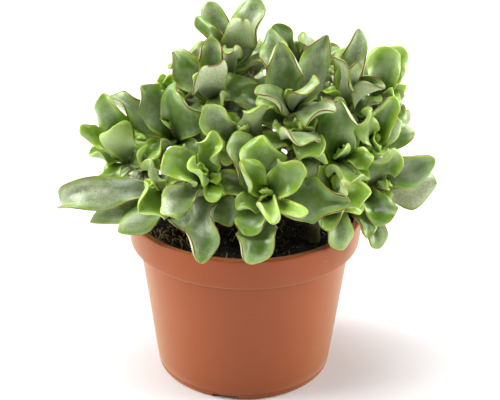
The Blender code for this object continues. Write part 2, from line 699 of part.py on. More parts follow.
def make_pot(finish):
    """The thin-walled pot, turned from its profile, with its drain channels and holes."""
    top = POT_HEIGHT
    inner_collar = COLLAR_BOTTOM_RADIUS - WALL
    profile = [(0, 0)]
    profile += arc((FOOT_RADIUS - FOOT_ROUNDING, FOOT_ROUNDING), FOOT_ROUNDING, -90, 0, 2)
    profile += [
        (BODY_TOP_RADIUS, COLLAR_BOTTOM_Z),
        (COLLAR_BOTTOM_RADIUS - 0.5, COLLAR_BOTTOM_Z),
        (COLLAR_BOTTOM_RADIUS, COLLAR_BOTTOM_Z + 0.5),
    ]
    profile += arc((RIM_RADIUS - LIP_ROUNDING, top - LIP_ROUNDING), LIP_ROUNDING, 0, 90, 2)
    profile += [
        (RIM_RADIUS - LIP_WIDTH + 0.6, top - 0.5),
        (RIM_RADIUS - LIP_WIDTH, top - 1.2),
        (RIM_RADIUS - LIP_WIDTH, top - LIP_DEPTH),
        (RIM_RADIUS - WALL, top - LIP_DEPTH - 1.5),
        (inner_collar, COLLAR_BOTTOM_Z + WALL),
        (BODY_TOP_RADIUS - WALL, COLLAR_BOTTOM_Z + WALL),
        (body_radius(FLOOR) - WALL, FLOOR),
        (0, FLOOR),
    ]
    pot = turned("pot", profile, POT_SIDES, finish)
    ridge_top = CHANNEL_HEIGHT + WALL
    ridges = channel_boxes(
        "ridge_boxes", CHANNEL_WIDTH + 2 * WALL, ridge_top, CHANNEL_INNER_RADIUS - WALL, 0.5, 1.2
    )
    trim = turned(
        "ridge_trim",
        [(0, -1), (body_radius(0) - WALL / 2, -1), (body_radius(6) - WALL / 2, 6), (0, 6)],
        POT_SIDES,
        None,
    )
    cutter(trim)
    boolean(ridges, trim, "INTERSECT")
    boolean(pot, ridges, "UNION")
    channels = channel_boxes(
        "channel_cutter", CHANNEL_WIDTH, CHANNEL_HEIGHT, CHANNEL_INNER_RADIUS, -2.0, CHANNEL_ROUNDING
    )
    boolean(pot, channels, "DIFFERENCE")
    boolean(pot, drain_holes(), "DIFFERENCE")
    pot.data.shade_smooth()
    return pot


def make_soil(finish):
    """The soil fills the pot, with a plain hole for each rooted stem."""
    fill = BODY_TOP_RADIUS - WALL - GAP
    profile = [
        (0, FLOOR + GAP),
        (body_radius(FLOOR + GAP) - WALL - GAP, FLOOR + GAP),
        (fill, COLLAR_BOTTOM_Z + WALL - GAP),
        (fill, COLLAR_BOTTOM_Z + WALL + GAP),
        (COLLAR_BOTTOM_RADIUS - WALL - GAP, COLLAR_BOTTOM_Z + WALL + GAP),
        (COLLAR_BOTTOM_RADIUS - WALL - GAP, SOIL_LEVEL - 2),
        (54.5, SOIL_LEVEL),
        (42.0, SOIL_LEVEL),
        (24.0, SOIL_LEVEL),
        (0, SOIL_LEVEL),
    ]
    soil = turned("soil", profile, POT_SIDES, finish)
    for vertex in soil.data.vertices:
        x, y, z = vertex.co / MM
        if z > SOIL_LEVEL - 1:
            vertex.co.z = soil_height(x, y) * MM
    ridge_top = CHANNEL_HEIGHT + WALL + GAP
    ridge_width = CHANNEL_WIDTH + 2 * (WALL + GAP)
    ridges = channel_boxes(
        "soil_ridge_cutter", ridge_width, ridge_top, CHANNEL_INNER_RADIUS - WALL - GAP, 0.0, 1.0
    )
    boolean(soil, ridges, "DIFFERENCE")
    holes = []
    faces = []
    radius = FOOT_STEM_RADIUS + 2 * GAP
    across = Vector((0, 0, 1)).orthogonal().normalized()
    side = Vector((0, 0, 1)).cross(across)
    for _, (x, y) in STEMS:
        ground = soil_height(x, y)
        first = len(holes)
        for z in (ground - HOLE_DEPTH, ground + 4):
            for i in range(STEM_SIDES):
                turn = 2 * math.pi * i / STEM_SIDES
                out = (across * math.cos(turn) + side * math.sin(turn)) * radius
                holes.append((x + out.x, y + out.y, z))
        for i in range(STEM_SIDES):
            j = (i + 1) % STEM_SIDES
            faces.append((first + i, first + j, first + STEM_SIDES + j, first + STEM_SIDES + i))
        faces.append(tuple(range(first + STEM_SIDES - 1, first - 1, -1)))
        faces.append(tuple(range(first + STEM_SIDES, first + 2 * STEM_SIDES)))
    boolean(soil, cutter(mesh_object("stem_hole_cutter", holes, faces, None)), "DIFFERENCE")
    return soil


def fuse(name, solids, finish):
    """One mesh from overlapping solids."""
    first, *others = solids
    trunk = mesh_object(name, *first, finish)
    parts = bpy.data.collections.new(name + "_parts")
    bpy.context.scene.collection.children.link(parts)
    for number, (points, triangles) in enumerate(others):
        piece = mesh_object(f"{name}_piece_{number}", points, triangles, finish)
        bpy.context.scene.collection.objects.unlink(piece)
        parts.objects.link(piece)
    join = trunk.modifiers.new("join", "BOOLEAN")
    join.operation = "UNION"
    join.operand_type = "COLLECTION"
    join.collection = parts
    join.solver = "MANIFOLD"
    graph = bpy.context.evaluated_depsgraph_get()
    fused = bpy.data.meshes.new_from_object(trunk.evaluated_get(graph))
    for piece in [trunk] + list(parts.objects):
        bpy.data.objects.remove(piece)
    bpy.data.collections.remove(parts)
    return fused


def shells_of(work):
    """The connected groups of points of a bmesh, the largest one first."""
    left = set(work.verts)
    shells = []
    while left:
        shell = [left.pop()]
        for vertex in shell:
            for edge in vertex.link_edges:
                other = edge.other_vert(vertex)
                if other in left:
                    left.remove(other)
                    shell.append(other)
        shells.append(shell)
    return sorted(shells, key=len, reverse=True)


def thinnest_face(work):
    """The height of the flattest triangle of a bmesh, or 0 if it isn't one closed shell."""
    closed = all(edge.is_manifold for edge in work.edges) and all(v.is_manifold for v in work.verts)
    if not closed or len(shells_of(work)) > 1:
        return 0.0
    return min(2 * f.calc_area() / max(e.calc_length() for e in f.edges) for f in work.faces) / MM


def clean(mesh):
    """Fills the sealed pockets between fused leaves and closes up the shortest edges of a mesh."""
    work = bmesh.new()
    work.from_mesh(mesh)
    spare = [v for shell in shells_of(work)[1:] for v in shell]
    bmesh.ops.delete(work, geom=spare, context="VERTS")
    bmesh.ops.dissolve_degenerate(work, dist=SHORTEST_EDGE * MM, edges=work.edges)
    bmesh.ops.triangulate(work, faces=work.faces)
    thinnest = thinnest_face(work)
    work.to_mesh(mesh)
    work.free()
    return thinnest


def make_stem(name, foot, branches, leaves, finish):
    """One rooted stem fused with its branches and leaves, tried a little fatter till no face is a sliver."""
    best = None
    for attempt in range(FIRST_TRY.get(name, 0), FUSE_TRIES):
        turn = math.radians(TURN_STEP_DEG * attempt)
        solids = [foot_mesh(foot)] + [branch_mesh(branch, turn) for branch in branches]
        solids += [blade_mesh(leaf, 0, SWELL_STEP * attempt) for leaf in leaves]
        fused = fuse(name, solids, finish)
        thinnest = clean(fused)
        if best is None or thinnest > best[0]:
            best = (thinnest, fused)
        if thinnest > THINNEST_FACE:
            break
    stem = bpy.data.objects.new(name, best[1])
    stem.data.name = name
    bpy.context.scene.collection.objects.link(stem)


def main():
    for obj in list(bpy.data.objects):
        bpy.data.objects.remove(obj)
    clay = material("terracotta plastic", (0.44, 0.165, 0.075), 0.42)
    earth = material("dark potting soil", (0.018, 0.014, 0.011), 0.95)
    green = material("silvery green leaf", (0.20, 0.34, 0.11), 0.45)
    make_pot(clay)
    make_soil(earth)
    for name, (foot, branches, leaves) in grow().items():
        make_stem(name, foot, branches, leaves, green)


main()
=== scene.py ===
"""Dresses the potted curly silver jade: a turned plastic pot, crumbly soil, and eleven rooted
stems whose fleshy leaves have waved, red-lined margins and a silvery bloom.

The growth of the plant repeats the rule of the solids, so every fine leaf lies over its solid.
All sizes are in millimetres until a mesh is made.
"""

import json
import math
from random import Random

import bmesh
import bpy
from bpy.props import FloatProperty, FloatVectorProperty, IntProperty, PointerProperty
from mathutils import Matrix, Vector
from mathutils.bvhtree import BVHTree

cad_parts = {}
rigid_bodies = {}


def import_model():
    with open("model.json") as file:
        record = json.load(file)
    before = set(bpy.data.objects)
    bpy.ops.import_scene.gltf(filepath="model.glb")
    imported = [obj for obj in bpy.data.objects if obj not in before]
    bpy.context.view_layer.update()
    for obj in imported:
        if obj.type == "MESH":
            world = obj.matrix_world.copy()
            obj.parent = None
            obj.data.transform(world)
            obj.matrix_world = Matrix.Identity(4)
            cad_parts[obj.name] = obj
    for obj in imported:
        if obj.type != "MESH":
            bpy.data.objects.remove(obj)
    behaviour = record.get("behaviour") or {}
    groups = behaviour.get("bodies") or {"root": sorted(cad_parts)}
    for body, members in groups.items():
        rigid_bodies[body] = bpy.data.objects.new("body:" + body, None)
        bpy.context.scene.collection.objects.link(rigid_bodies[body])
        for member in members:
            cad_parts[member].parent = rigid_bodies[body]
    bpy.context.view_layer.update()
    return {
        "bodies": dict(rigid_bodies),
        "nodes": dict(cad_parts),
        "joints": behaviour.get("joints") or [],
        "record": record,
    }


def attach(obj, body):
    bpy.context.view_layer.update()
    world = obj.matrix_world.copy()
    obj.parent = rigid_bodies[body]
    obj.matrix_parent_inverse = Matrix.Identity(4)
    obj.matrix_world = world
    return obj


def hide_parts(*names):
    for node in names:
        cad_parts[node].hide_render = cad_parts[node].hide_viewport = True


bl_info = {
    "name": "Potted curly silver jade",
    "version": (1, 0, 0),
    "blender": (4, 5, 0),
    "location": "View3D > Sidebar > Jade",
    "description": "Builds the pot, soil, stems, leaves and studio of a potted succulent",
    "category": "Object",
}

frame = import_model()

MM = 0.001

# The pot: a 12 cm nursery pot with a collar round its top
RIM_RADIUS = 60.0
POT_HEIGHT = 87.6
COLLAR_BOTTOM_Z = 71.8
COLLAR_BOTTOM_RADIUS = 59.1
BODY_TOP_RADIUS = 54.7
FOOT_RADIUS = 45.4
WALL = 1.3
LIP_WIDTH = 3.6
LIP_DEPTH = 3.2
LIP_ROUNDING = 1.0
FOOT_ROUNDING = 1.4
FLOOR = 1.6

# Drain channels under the foot, one of them at the front, a little to the left
CHANNELS = 3
FIRST_CHANNEL_DEG = -11.8
CHANNEL_WIDTH = 13.5
CHANNEL_HEIGHT = 2.2
CHANNEL_INNER_RADIUS = 22.0
CHANNEL_ROUNDING = 1.2
DRAIN_HOLE_RADIUS = 3.5
DRAIN_HOLE_AT = 31.0

# The soil
GAP = 0.3
SOIL_LEVEL = 81.5
SOIL_EDGE_DROP = 1.0
HOLE_DEPTH = 20.0

# Stems
STEM_SIDES = 5
FOOT_STEM_RADIUS = 3.1
TIP_STEM_RADIUS = 1.9
BRANCH_RADIUS = FOOT_STEM_RADIUS * 0.85
FORK_HEIGHT = 12.0
BRANCH_RINGS = 4
BRANCH_REACH = 0.38
CURVE_STEPS = 40

# Leaves
LEAF_THICKNESS = 2.1
MIDRIB_STEPS = 24
NECK = 0.22
WIDEST_AT = 0.62
ROOT_OFFSET = 0.7
FRONT = Vector((0, -0.9, 0.43))
GROWTH_SEED = 7

# Room round a blade, and the steps of its midrib from which it keeps clear of other shoots and
# of the leaves of its own
LEAF_CLEARANCE = 0.4
SOIL_CLEARANCE = 1.2
RIM_CLEARANCE = 1
LOWEST_LEAF_Z = 4
CLEAR_OF_OTHERS_FROM = 4
CLEAR_OF_OWN_FROM = 7

# How often a leaf is tried, and what each try takes off it or shifts it by
TRIES = 90
WIDTH_LOSS = 0.003
LENGTH_LOSS = 0.005
TIP_SHIFT = 0.04

# How leaves differ from each other: each value is drawn between the two
SWAY_DEG = (-25, 25)
TWIST_DEG = (-38, 38)
FOLD_DEG = (2, 40)
CURL_DEG = (55, 115)
FULL_CURL_LENGTH = 16
WAVES = (0.85, 1.35)
LOBES = (0.04, 0.24)
BLUNTNESS = (1.3, 3.0)
LENGTH_SHARE = (0.86, 1.1)
WIDTH_SHARE = (0.68, 0.86)
BEND_SHARE = (0.4, 1.5)

# The spread of the leaves of a pair round their usual turn and rise
TURN_SPREAD = 0.3
RISE_SPREAD_DEG = 13

# Posed leaves: the heart above the shoot that they face, and how they are wider and less twisted
HEART_HEIGHT = 14
POSED_WIDTH = 1.28
POSED_TWIST = 0.4

# The growth of a shoot from its tip down: how far below the tip each pair of leaves stands,
# how long it is, how steeply it rises from the stem and how much it curls back
PAIR_DROP = (1.5, 3.6, 6.6, 10.5, 15.2, 20.5, 26.5)
PAIR_LENGTH = (12.0, 17.5, 22.0, 25.5, 28.0, 29.0, 28.0)
PAIR_RISE_DEG = (62, 52, 43, 33, 23, 12, 0)
PAIR_BEND_DEG = (10, 20, 32, 42, 50, 58, 64)

# Rooted stems: name, and where the foot stands in the soil
STEMS = (
    ("stem_front_left", (-22, -24)),
    ("stem_front", (8, -28)),
    ("stem_front_right", (34.5, -24.5)),
    ("stem_left", (-35.2, -3.4)),
    ("stem_upper_left", (-16, 4)),
    ("stem_upper_middle", (10, -6)),
    ("stem_right", (37, 4)),
    ("stem_right_low", (45, -11)),
    ("stem_back_left", (-26, 27)),
    ("stem_back", (2, 35)),
    ("stem_back_right", (28, 29)),
)

# Shoots: name, stem, place of the tip, the way the tip leans, pairs of leaves, scale of the leaves
SHOOTS = (
    ("front_left", "stem_front_left", (-19, -44, 125), (-0.15, -0.65, 0.75), 5, 0.90),
    ("left_low", "stem_front_left", (-42, -30, 111), (-0.60, -0.55, 0.60), 5, 0.90),
    ("small_left", "stem_front_left", (-2, -32, 141), (0.00, -0.35, 0.94), 6, 0.85),
    ("front_middle", "stem_front", (9, -50, 119), (0.05, -0.70, 0.72), 4, 0.95),
    ("middle", "stem_front", (26, -34, 145), (0.05, -0.50, 0.86), 6, 0.90),
    ("low_right", "stem_front_right", (45, -40, 113), (0.40, -0.75, 0.50), 4, 0.85),
    ("dark_right", "stem_front_right", (46, -30, 131), (-0.10, -0.50, 0.86), 5, 1.03),
    ("left_bright", "stem_left", (-62, -12, 122), (-0.35, -0.25, 0.90), 6, 0.90),
    ("left_middle", "stem_left", (-36, -12, 136), (-0.40, -0.35, 0.85), 6, 1.00),
    ("upper_left", "stem_upper_left", (-18, -12, 157), (-0.20, -0.40, 0.90), 6, 0.95),
    ("left_small", "stem_upper_left", (-40, 8, 149), (-0.50, 0.00, 0.86), 5, 0.75),
    ("top_left", "stem_upper_left", (-8, 8, 170), (-0.10, -0.05, 1.00), 6, 0.90),
    ("upper_middle", "stem_upper_middle", (21, -26, 155), (0.00, -0.50, 0.86), 6, 1.00),
    ("top_back", "stem_upper_middle", (29, 16, 164), (0.10, 0.10, 1.00), 6, 0.85),
    ("upper_right", "stem_right", (50, -6, 153), (0.10, -0.20, 0.97), 6, 0.90),
    ("right_bright", "stem_right", (71, 4, 152), (0.60, -0.15, 0.80), 6, 0.85),
    ("right_middle", "stem_right", (62, -14, 131), (0.55, -0.40, 0.73), 5, 0.90),
    ("right_low", "stem_right_low", (66, -20, 111), (0.75, -0.45, 0.50), 6, 0.95),
    ("back_left", "stem_back_left", (-48, 42, 124), (-0.50, 0.50, 0.70), 6, 0.90),
    ("back_left_low", "stem_back_left", (-64, 22, 110), (-0.80, 0.25, 0.50), 4, 0.95),
    ("back_left_high", "stem_back_left", (-30, 34, 150), (-0.30, 0.35, 0.88), 6, 0.85),
    ("back_low", "stem_back", (-12, 56, 120), (-0.15, 0.75, 0.65), 5, 0.95),
    ("back_high", "stem_back", (2, 36, 158), (0.00, 0.30, 0.95), 6, 0.90),
    ("back_right", "stem_back_right", (28, 57, 120), (0.25, 0.75, 0.60), 5, 0.95),
    ("back_right_far", "stem_back_right", (60, 36, 126), (0.70, 0.40, 0.60), 6, 0.90),
    ("back_right_high", "stem_back_right", (40, 36, 151), (0.30, 0.30, 0.90), 6, 0.85),
)

# Leaves that give the bush its outline: shoot, how far below its tip the leaf is rooted,
# place of the leaf's tip, width, curl back in degrees, and how far its face is turned from the
# shoot's middle to the front, or with a minus away from it
POSED_LEAVES = (
    ("left_bright", 8, (-76, -14, 137), 12, 15, 0.5),
    ("left_bright", 6, (-71, -12, 154), 16, 15, 0.7),
    ("left_bright", 4, (-62, -26, 143), 14, 5, -0.8),
    ("left_bright", 8, (-51, -22, 141), 14, 15, 0.5),
    ("left_low", 16, (-76, -32, 94), 11, 45, 0.3),
    ("left_low", 6, (-91, -22, 97), 14, 95, 0.1),
    ("left_low", 15, (-62, -42, 95), 14, 35, 0.4),
    ("left_low", 5, (-50, -50, 108), 17, 50, 0.9),
    ("left_low", 3, (-44, -44, 133), 11, 25, 0.3),
    ("front_left", 7, (-38, -52, 139), 17, 25, 0.4),
    ("front_left", 3, (-26, -62, 136), 10, 25, 0.5),
    ("front_left", 6, (-15, -44, 148), 12, 15, 0.8),
    ("front_left", 13, (-39, -60, 112), 13, 55, 0.5),
    ("front_left", 9, (-29, -66, 110), 19, 40, 0.7),
    ("front_left", 14, (-20, -67, 90), 15, 40, 0.9),
    ("front_middle", 7, (8, -44, 146), 19, 20, 1.0),
    ("front_middle", 4, (-7, -58, 142), 14, 30, 0.6),
    ("front_middle", 9, (-5, -38, 145), 16, 30, 0.9),
    ("front_middle", 5, (26, -60, 139), 15, 30, 0.6),
    ("front_middle", 3, (26, -72, 129), 9, -30, 0.2),
    ("front_middle", 4, (-3, -76, 130), 10, 35, 0.3),
    ("front_middle", 6, (13, -76, 116), 11, 30, 0.4),
    ("front_middle", 10, (49, -58, 119), 17, 35, 0.8),
    ("front_middle", 13, (2, -67, 90), 17, 40, 0.9),
    ("front_middle", 12, (40, -48, 137), 15, 40, 0.7),
    ("upper_left", 9, (-36, 4, 170), 14, 30, 0.9),
    ("upper_left", 7, (-30, 6, 173), 12, 30, 0.9),
    ("upper_left", 8, (-17, -8, 182), 13, 10, 0.5),
    ("upper_left", 6, (-17, -34, 176), 16, 5, -0.9),
    ("upper_left", 11, (-31, -27, 168), 11, 25, -0.5),
    ("left_middle", 12, (-68, 2, 147), 13, 45, 0.3),
    ("left_middle", 8, (-49, -14, 156), 18, 25, 0.4),
    ("left_middle", 5, (-31, -30, 160), 21, 10, 0.7),
    ("small_left", 10, (-20, -36, 157), 14, 20, 0.9),
    ("small_left", 7, (8, -40, 159), 13, 25, -0.7),
    ("top_left", 8, (-19, 12, 193), 12, 5, 0.9),
    ("top_left", 9, (4, 12, 191), 18, 15, 0.9),
    ("top_left", 4, (-4, 14, 189), 10, 10, 0.9),
    ("top_left", 5, (-2, -8, 190), 13, 20, -0.9),
    ("top_left", 3, (-18, -2, 187), 9, 10, 0.6),
    ("top_left", 7, (9, 6, 184), 14, 30, 0.8),
    ("top_left", 12, (-13, -20, 178), 10, 50, 0.0),
    ("upper_middle", 7, (15, -28, 186), 16, 10, 0.9),
    ("upper_middle", 9, (35, -22, 185), 18, 15, 0.7),
    ("upper_middle", 5, (25, -33, 184), 10, 20, -0.4),
    ("upper_middle", 9, (4, -44, 167), 13, 55, 0.2),
    ("upper_middle", 5, (33, -46, 172), 10, 40, 0.0),
    ("upper_middle", 10, (41, -50, 160), 14, 40, 0.3),
    ("upper_middle", 12, (11, -4, 185), 13, 10, 0.9),
    ("top_back", 8, (27, 10, 178), 18, 45, 0.4),
    ("top_back", 6, (29, 8, 181), 16, 15, 0.9),
    ("top_back", 9, (43, 10, 180), 13, 40, 0.4),
    ("top_back", 4, (36, 14, 177), 12, 10, 0.8),
    ("top_back", 10, (13, 8, 183), 12, 20, 0.8),
    ("upper_right", 8, (54, 0, 184), 13, 10, 0.9),
    ("upper_right", 8, (41, -16, 172), 15, 35, 0.4),
    ("upper_right", 5, (50, -14, 176), 9, 15, -0.7),
    ("upper_right", 12, (67, -16, 160), 15, 50, 0.3),
    ("upper_right", 9, (47, 6, 174), 12, 20, 0.8),
    ("right_bright", 8, (68, 4, 174), 16, 20, 0.9),
    ("right_bright", 7, (78, 10, 171), 13, 20, 0.8),
    ("right_bright", 9, (79, 6, 148), 11, 40, -0.6),
    ("right_middle", 8, (72, -12, 154), 15, 25, 0.8),
    ("right_middle", 9, (77, -20, 143), 15, 30, -0.8),
    ("right_middle", 12, (82, -6, 135), 13, 30, 0.8),
    ("right_middle", 6, (60, -30, 153), 15, 15, 0.6),
    ("right_low", 6, (70, -30, 134), 15, 15, 0.7),
    ("right_low", 4, (77, -36, 128), 13, 20, -0.6),
    ("right_low", 8, (91, -18, 122), 17, 25, 0.5),
    ("right_low", 12, (95, -16, 110), 18, 35, -0.8),
    ("right_low", 11, (75, -34, 104), 18, 45, 0.8),
    ("right_low", 14, (66, -36, 97), 14, 50, 0.7),
    ("right_low", 17, (67, -32, 81), 14, 50, 0.6),
    ("low_right", 10, (47, -46, 87), 13, 40, 0.5),
    ("low_right", 4, (59, -52, 121), 11, 40, 0.3),
    ("low_right", 4, (43, -56, 130), 9, 25, 0.6),
    ("middle", 9, (25, -60, 147), 16, 70, 0.5),
    ("middle", 10, (11, -46, 157), 13, 40, 0.5),
    ("middle", 7, (34, -50, 138), 13, 40, 0.4),
    ("dark_right", 9, (43, -42, 163), 17, 5, 0.8),
    ("left_small", 3, (-36, 2, 159), 8, 10, 0.8),
    ("left_small", 3, (-31, 6, 158), 8, 10, 0.8),
    ("left_small", 5, (-42, 2, 155), 10, 30, 0.3),
)


def smooth(x):
    """Eases from 0 to 1 as x goes from 0 to 1."""
    x = min(1.0, max(0.0, x))
    return x * x * (3 - 2 * x)


class Leaf:
    """One leaf: where it is rooted, which way it starts and faces, and how it is shaped."""

    def __init__(self, root, ahead, face, length, width, bend, rng):
        self.root = root
        self.ahead = ahead.normalized()
        self.face = (face - self.ahead * face.dot(self.ahead)).normalized()
        self.length = length
        self.width = width
        self.bend = bend
        self.sway = math.radians(rng.uniform(*SWAY_DEG))
        self.twist = math.radians(rng.uniform(*TWIST_DEG))
        self.fold = math.radians(rng.uniform(*FOLD_DEG))
        self.curl = math.radians(rng.uniform(*CURL_DEG)) * min(1.0, length / FULL_CURL_LENGTH)
        self.turns = rng.uniform(*WAVES)
        self.phase = (rng.uniform(0, 2 * math.pi), rng.uniform(0, 2 * math.pi))
        self.lobes = rng.uniform(*LOBES)
        self.bluntness = rng.uniform(*BLUNTNESS)
        self.thickness = LEAF_THICKNESS * min(1.0, 0.45 + length / 40)

    def midrib(self):
        """Points along the middle of the blade, each with the way ahead and the way it faces."""
        point = self.root.copy()
        ahead = self.ahead.copy()
        face = self.face.copy()
        step = self.length / MIDRIB_STEPS
        frames = [(point, ahead, face)]
        for i in range(MIDRIB_STEPS):
            share = (i + 0.5) / MIDRIB_STEPS
            pitch = self.bend * 2 * share / MIDRIB_STEPS
            yaw = self.sway / MIDRIB_STEPS
            roll = self.twist / MIDRIB_STEPS
            side = ahead.cross(face)
            new_ahead = ahead - face * pitch + side * yaw
            new_face = face + ahead * pitch + side * roll
            ahead = new_ahead.normalized()
            face = (new_face - ahead * new_face.dot(ahead)).normalized()
            point = point + ahead * step
            frames.append((point, ahead, face))
        return frames

    def half_width(self, t, side):
        """Half the blade's width at t, from 0 at the root to 1 at the tip: a wedge, then a round end."""
        lobe = math.sin(2 * math.pi * (self.turns + 0.7) * t + 2 * self.phase[side])
        half = self.width / 2 * (1 + self.lobes * lobe * smooth(t / 0.5))
        if t < WIDEST_AT:
            share = (t / WIDEST_AT) ** 1.1
            return half * (NECK + (1 - NECK) * share * (2 - share))
        past = (t - WIDEST_AT) / (1 - WIDEST_AT)
        return half * max(0.0, 1 - past**self.bluntness) ** 0.64

    def margin_curl(self, t, side):
        """The angle that the blade turns through from its midrib to a margin, above 0 towards its face."""
        wave = math.sin(2 * math.pi * self.turns * t + self.phase[side])
        return self.fold + self.curl * wave * smooth((t - 0.08) / 0.4) + 1e-6

    def point(self, frame, t, s, lift, swell=0.0):
        """A point of the blade: s is -1 and 1 at its margins, lift is 1 and -1 on its faces."""
        middle, ahead, face = frame
        side = ahead.cross(face) * (1 if s > 0 else -1)
        half = self.half_width(t, s > 0) + swell
        reach = abs(s)
        curl = self.margin_curl(t, s > 0)
        turn = curl * reach
        point = middle + (side * math.sin(turn) + face * (1 - math.cos(turn))) * (half / curl)
        normal = face * math.cos(turn) - side * math.sin(turn)
        return point + normal * (lift * (self.thickness / 2 + swell) * self.plumpness(t, reach))

    def plumpness(self, t, reach):
        """How thick the blade is there, as a share of its thickness at the middle."""
        return math.sqrt(max(0.0, 1 - reach**4)) * math.sqrt(max(0.0, 1 - t**10))


def blade_rows(length):
    """The steps along the midrib at which a blade of this length has a row of points."""
    if length < 15:
        return (9, 19)
    if length < 25:
        return (7, 15, 21)
    return (5, 11, 17, 22)


def blade_mesh(leaf, start=0, swell=0.0):
    """Points and triangles of a coarse blade, split alike on both faces, from its root or a step past it."""
    frames = leaf.midrib()
    points = []
    triangles = []
    steps = blade_rows(leaf.length)
    if start:
        steps = (start,) + tuple(step for step in steps if step > start)
    for step in steps:
        t = step / MIDRIB_STEPS
        for s, lift in ((-1, 0), (0, 1), (1, 0), (0, -1)):
            points.append(leaf.point(frames[step], t, s, lift, swell))
    for row in range(len(steps) - 1):
        a = 4 * row
        b = a + 4
        for i in range(4):
            j = (i + 1) % 4
            if i in (0, 2):
                triangles += [(a + i, b + i, b + j), (a + i, b + j, a + j)]
            else:
                triangles += [(a + i, b + i, a + j), (a + j, b + i, b + j)]
    last = len(points) - 4
    tip_point, tip_ahead, _ = frames[-1]
    points.append(tip_point + tip_ahead * swell)
    triangles += [(last + i, last + 4, last + (i + 1) % 4) for i in range(4)]
    if start:
        triangles += [(0, 1, 2), (0, 2, 3)]
    else:
        points.append(leaf.root)
        triangles += [(last + 5, i, (i + 1) % 4) for i in range(4)]
    return points, triangles


def soil_height(x, y):
    """The top of the soil, heaped a little to the left and lower at its edge."""
    out = math.hypot(x, y) / BODY_TOP_RADIUS
    heaps = 0.7 * math.sin(0.11 * x + 0.6) * math.cos(0.09 * y - 0.4)
    heaps += 0.4 * math.sin(0.23 * x - 0.19 * y)
    return SOIL_LEVEL + heaps - 0.02 * x - SOIL_EDGE_DROP * out**4


def clears_pot(points):
    """Whether points of a blade stay off the soil, the rim and the pot's wall."""
    for x, y, z in points:
        out = math.hypot(x, y)
        lowest = LOWEST_LEAF_Z
        if out < RIM_RADIUS - LIP_WIDTH - RIM_CLEARANCE:
            lowest = soil_height(x, y) + SOIL_CLEARANCE
        elif out < RIM_RADIUS + RIM_CLEARANCE:
            lowest = POT_HEIGHT + RIM_CLEARANCE
        if z < lowest:
            return False
    return True


def between(points, triangles):
    """The points of a mesh and the middles of its triangles' sides."""
    middles = []
    for a, b, c in triangles:
        middles += [(points[a] + points[b]) / 2, (points[b] + points[c]) / 2, (points[a] + points[c]) / 2]
    return points + middles


def ball_round(points):
    """The middle of some points, and the radius of a ball round it that holds them all."""
    middle = sum(points, Vector()) / len(points)
    return middle, max((p - middle).length for p in points)


class Thicket:
    """What has grown so far, so that a new blade can be kept clear of it."""

    def __init__(self):
        self.grown = []

    def add(self, shoot, points, triangles):
        self.grown.append((shoot, *ball_round(points), BVHTree.FromPolygons(points, triangles)))

    def is_clear(self, points, triangles, same_shoot, shoot):
        """Whether none of the leaves of this shoot, or nothing that isn't on it, crosses this mesh."""
        middle, radius = ball_round(points)
        tree = BVHTree.FromPolygons(points, triangles)
        for other_shoot, other_middle, other_radius, other in self.grown:
            if (other_shoot == shoot) != same_shoot:
                continue
            if (other_middle - middle).length < radius + other_radius and tree.overlap(other):
                return False
        return True


class Branch:
    """A bare branch from a fork to a shoot's tip, as points read from a cubic curve."""

    def __init__(self, start, tip, lean):
        span = (tip - start).length
        leave = Vector((0, 0, 1)) * span * BRANCH_REACH
        arrive = lean.normalized() * span * BRANCH_REACH
        self.controls = (start, start + leave, tip - arrive, tip)
        places = [self.at(i / CURVE_STEPS) for i in range(CURVE_STEPS + 1)]
        self.length = sum((b - a).length for a, b in zip(places, places[1:]))

    def at(self, u):
        a, b, c, d = self.controls
        v = 1 - u
        return a * v**3 + b * 3 * u * v * v + c * 3 * u * u * v + d * u**3

    def along(self, u):
        a, b, c, d = self.controls
        v = 1 - u
        slope = (b - a) * v * v + (c - b) * 2 * u * v + (d - c) * u * u
        return slope.normalized()

    def below_tip(self, drop):
        """The curve's parameter that far below the tip."""
        return max(0.0, 1 - drop / self.length)

    def radius(self, u):
        return BRANCH_RADIUS + (TIP_STEM_RADIUS - BRANCH_RADIUS) * u


def tube(centres, directions, radii, sides):
    """Points and triangles of a closed tube through the centres, pointed at its far end."""
    points = []
    triangles = []
    across = directions[0].orthogonal().normalized()
    for centre, ahead, radius in zip(centres, directions, radii):
        across = (across - ahead * across.dot(ahead)).normalized()
        side = ahead.cross(across)
        for i in range(sides):
            turn = 2 * math.pi * i / sides
            points.append(centre + (across * math.cos(turn) + side * math.sin(turn)) * radius)
    for ring in range(len(centres) - 1):
        for i in range(sides):
            a = ring * sides + i
            b = ring * sides + (i + 1) % sides
            triangles += [(a, b, b + sides), (a, b + sides, a + sides)]
    first = len(points)
    points += [centres[0], centres[-1] + directions[-1] * radii[-1]]
    last = (len(centres) - 1) * sides
    for i in range(sides):
        j = (i + 1) % sides
        triangles += [(first, j, i), (first + 1, last + i, last + j)]
    return points, triangles


def foot_mesh(foot):
    """The upright foot of a stem, from its hole in the soil up to the fork."""
    x, y = foot
    ground = soil_height(x, y)
    heights = (ground - HOLE_DEPTH + GAP, ground + 1, ground + FORK_HEIGHT)
    up = Vector((0, 0, 1))
    centres = [Vector((x, y, z)) for z in heights]
    return tube(centres, [up] * 3, [FOOT_STEM_RADIUS] * 3, STEM_SIDES)


def branch_mesh(branch):
    """A closed coarse tube along a branch."""
    shares = [i / (BRANCH_RINGS - 1) for i in range(BRANCH_RINGS)]
    centres = [branch.at(u) for u in shares]
    directions = [branch.along(u) for u in shares]
    radii = [branch.radius(u) for u in shares]
    return tube(centres, directions, radii, STEM_SIDES)


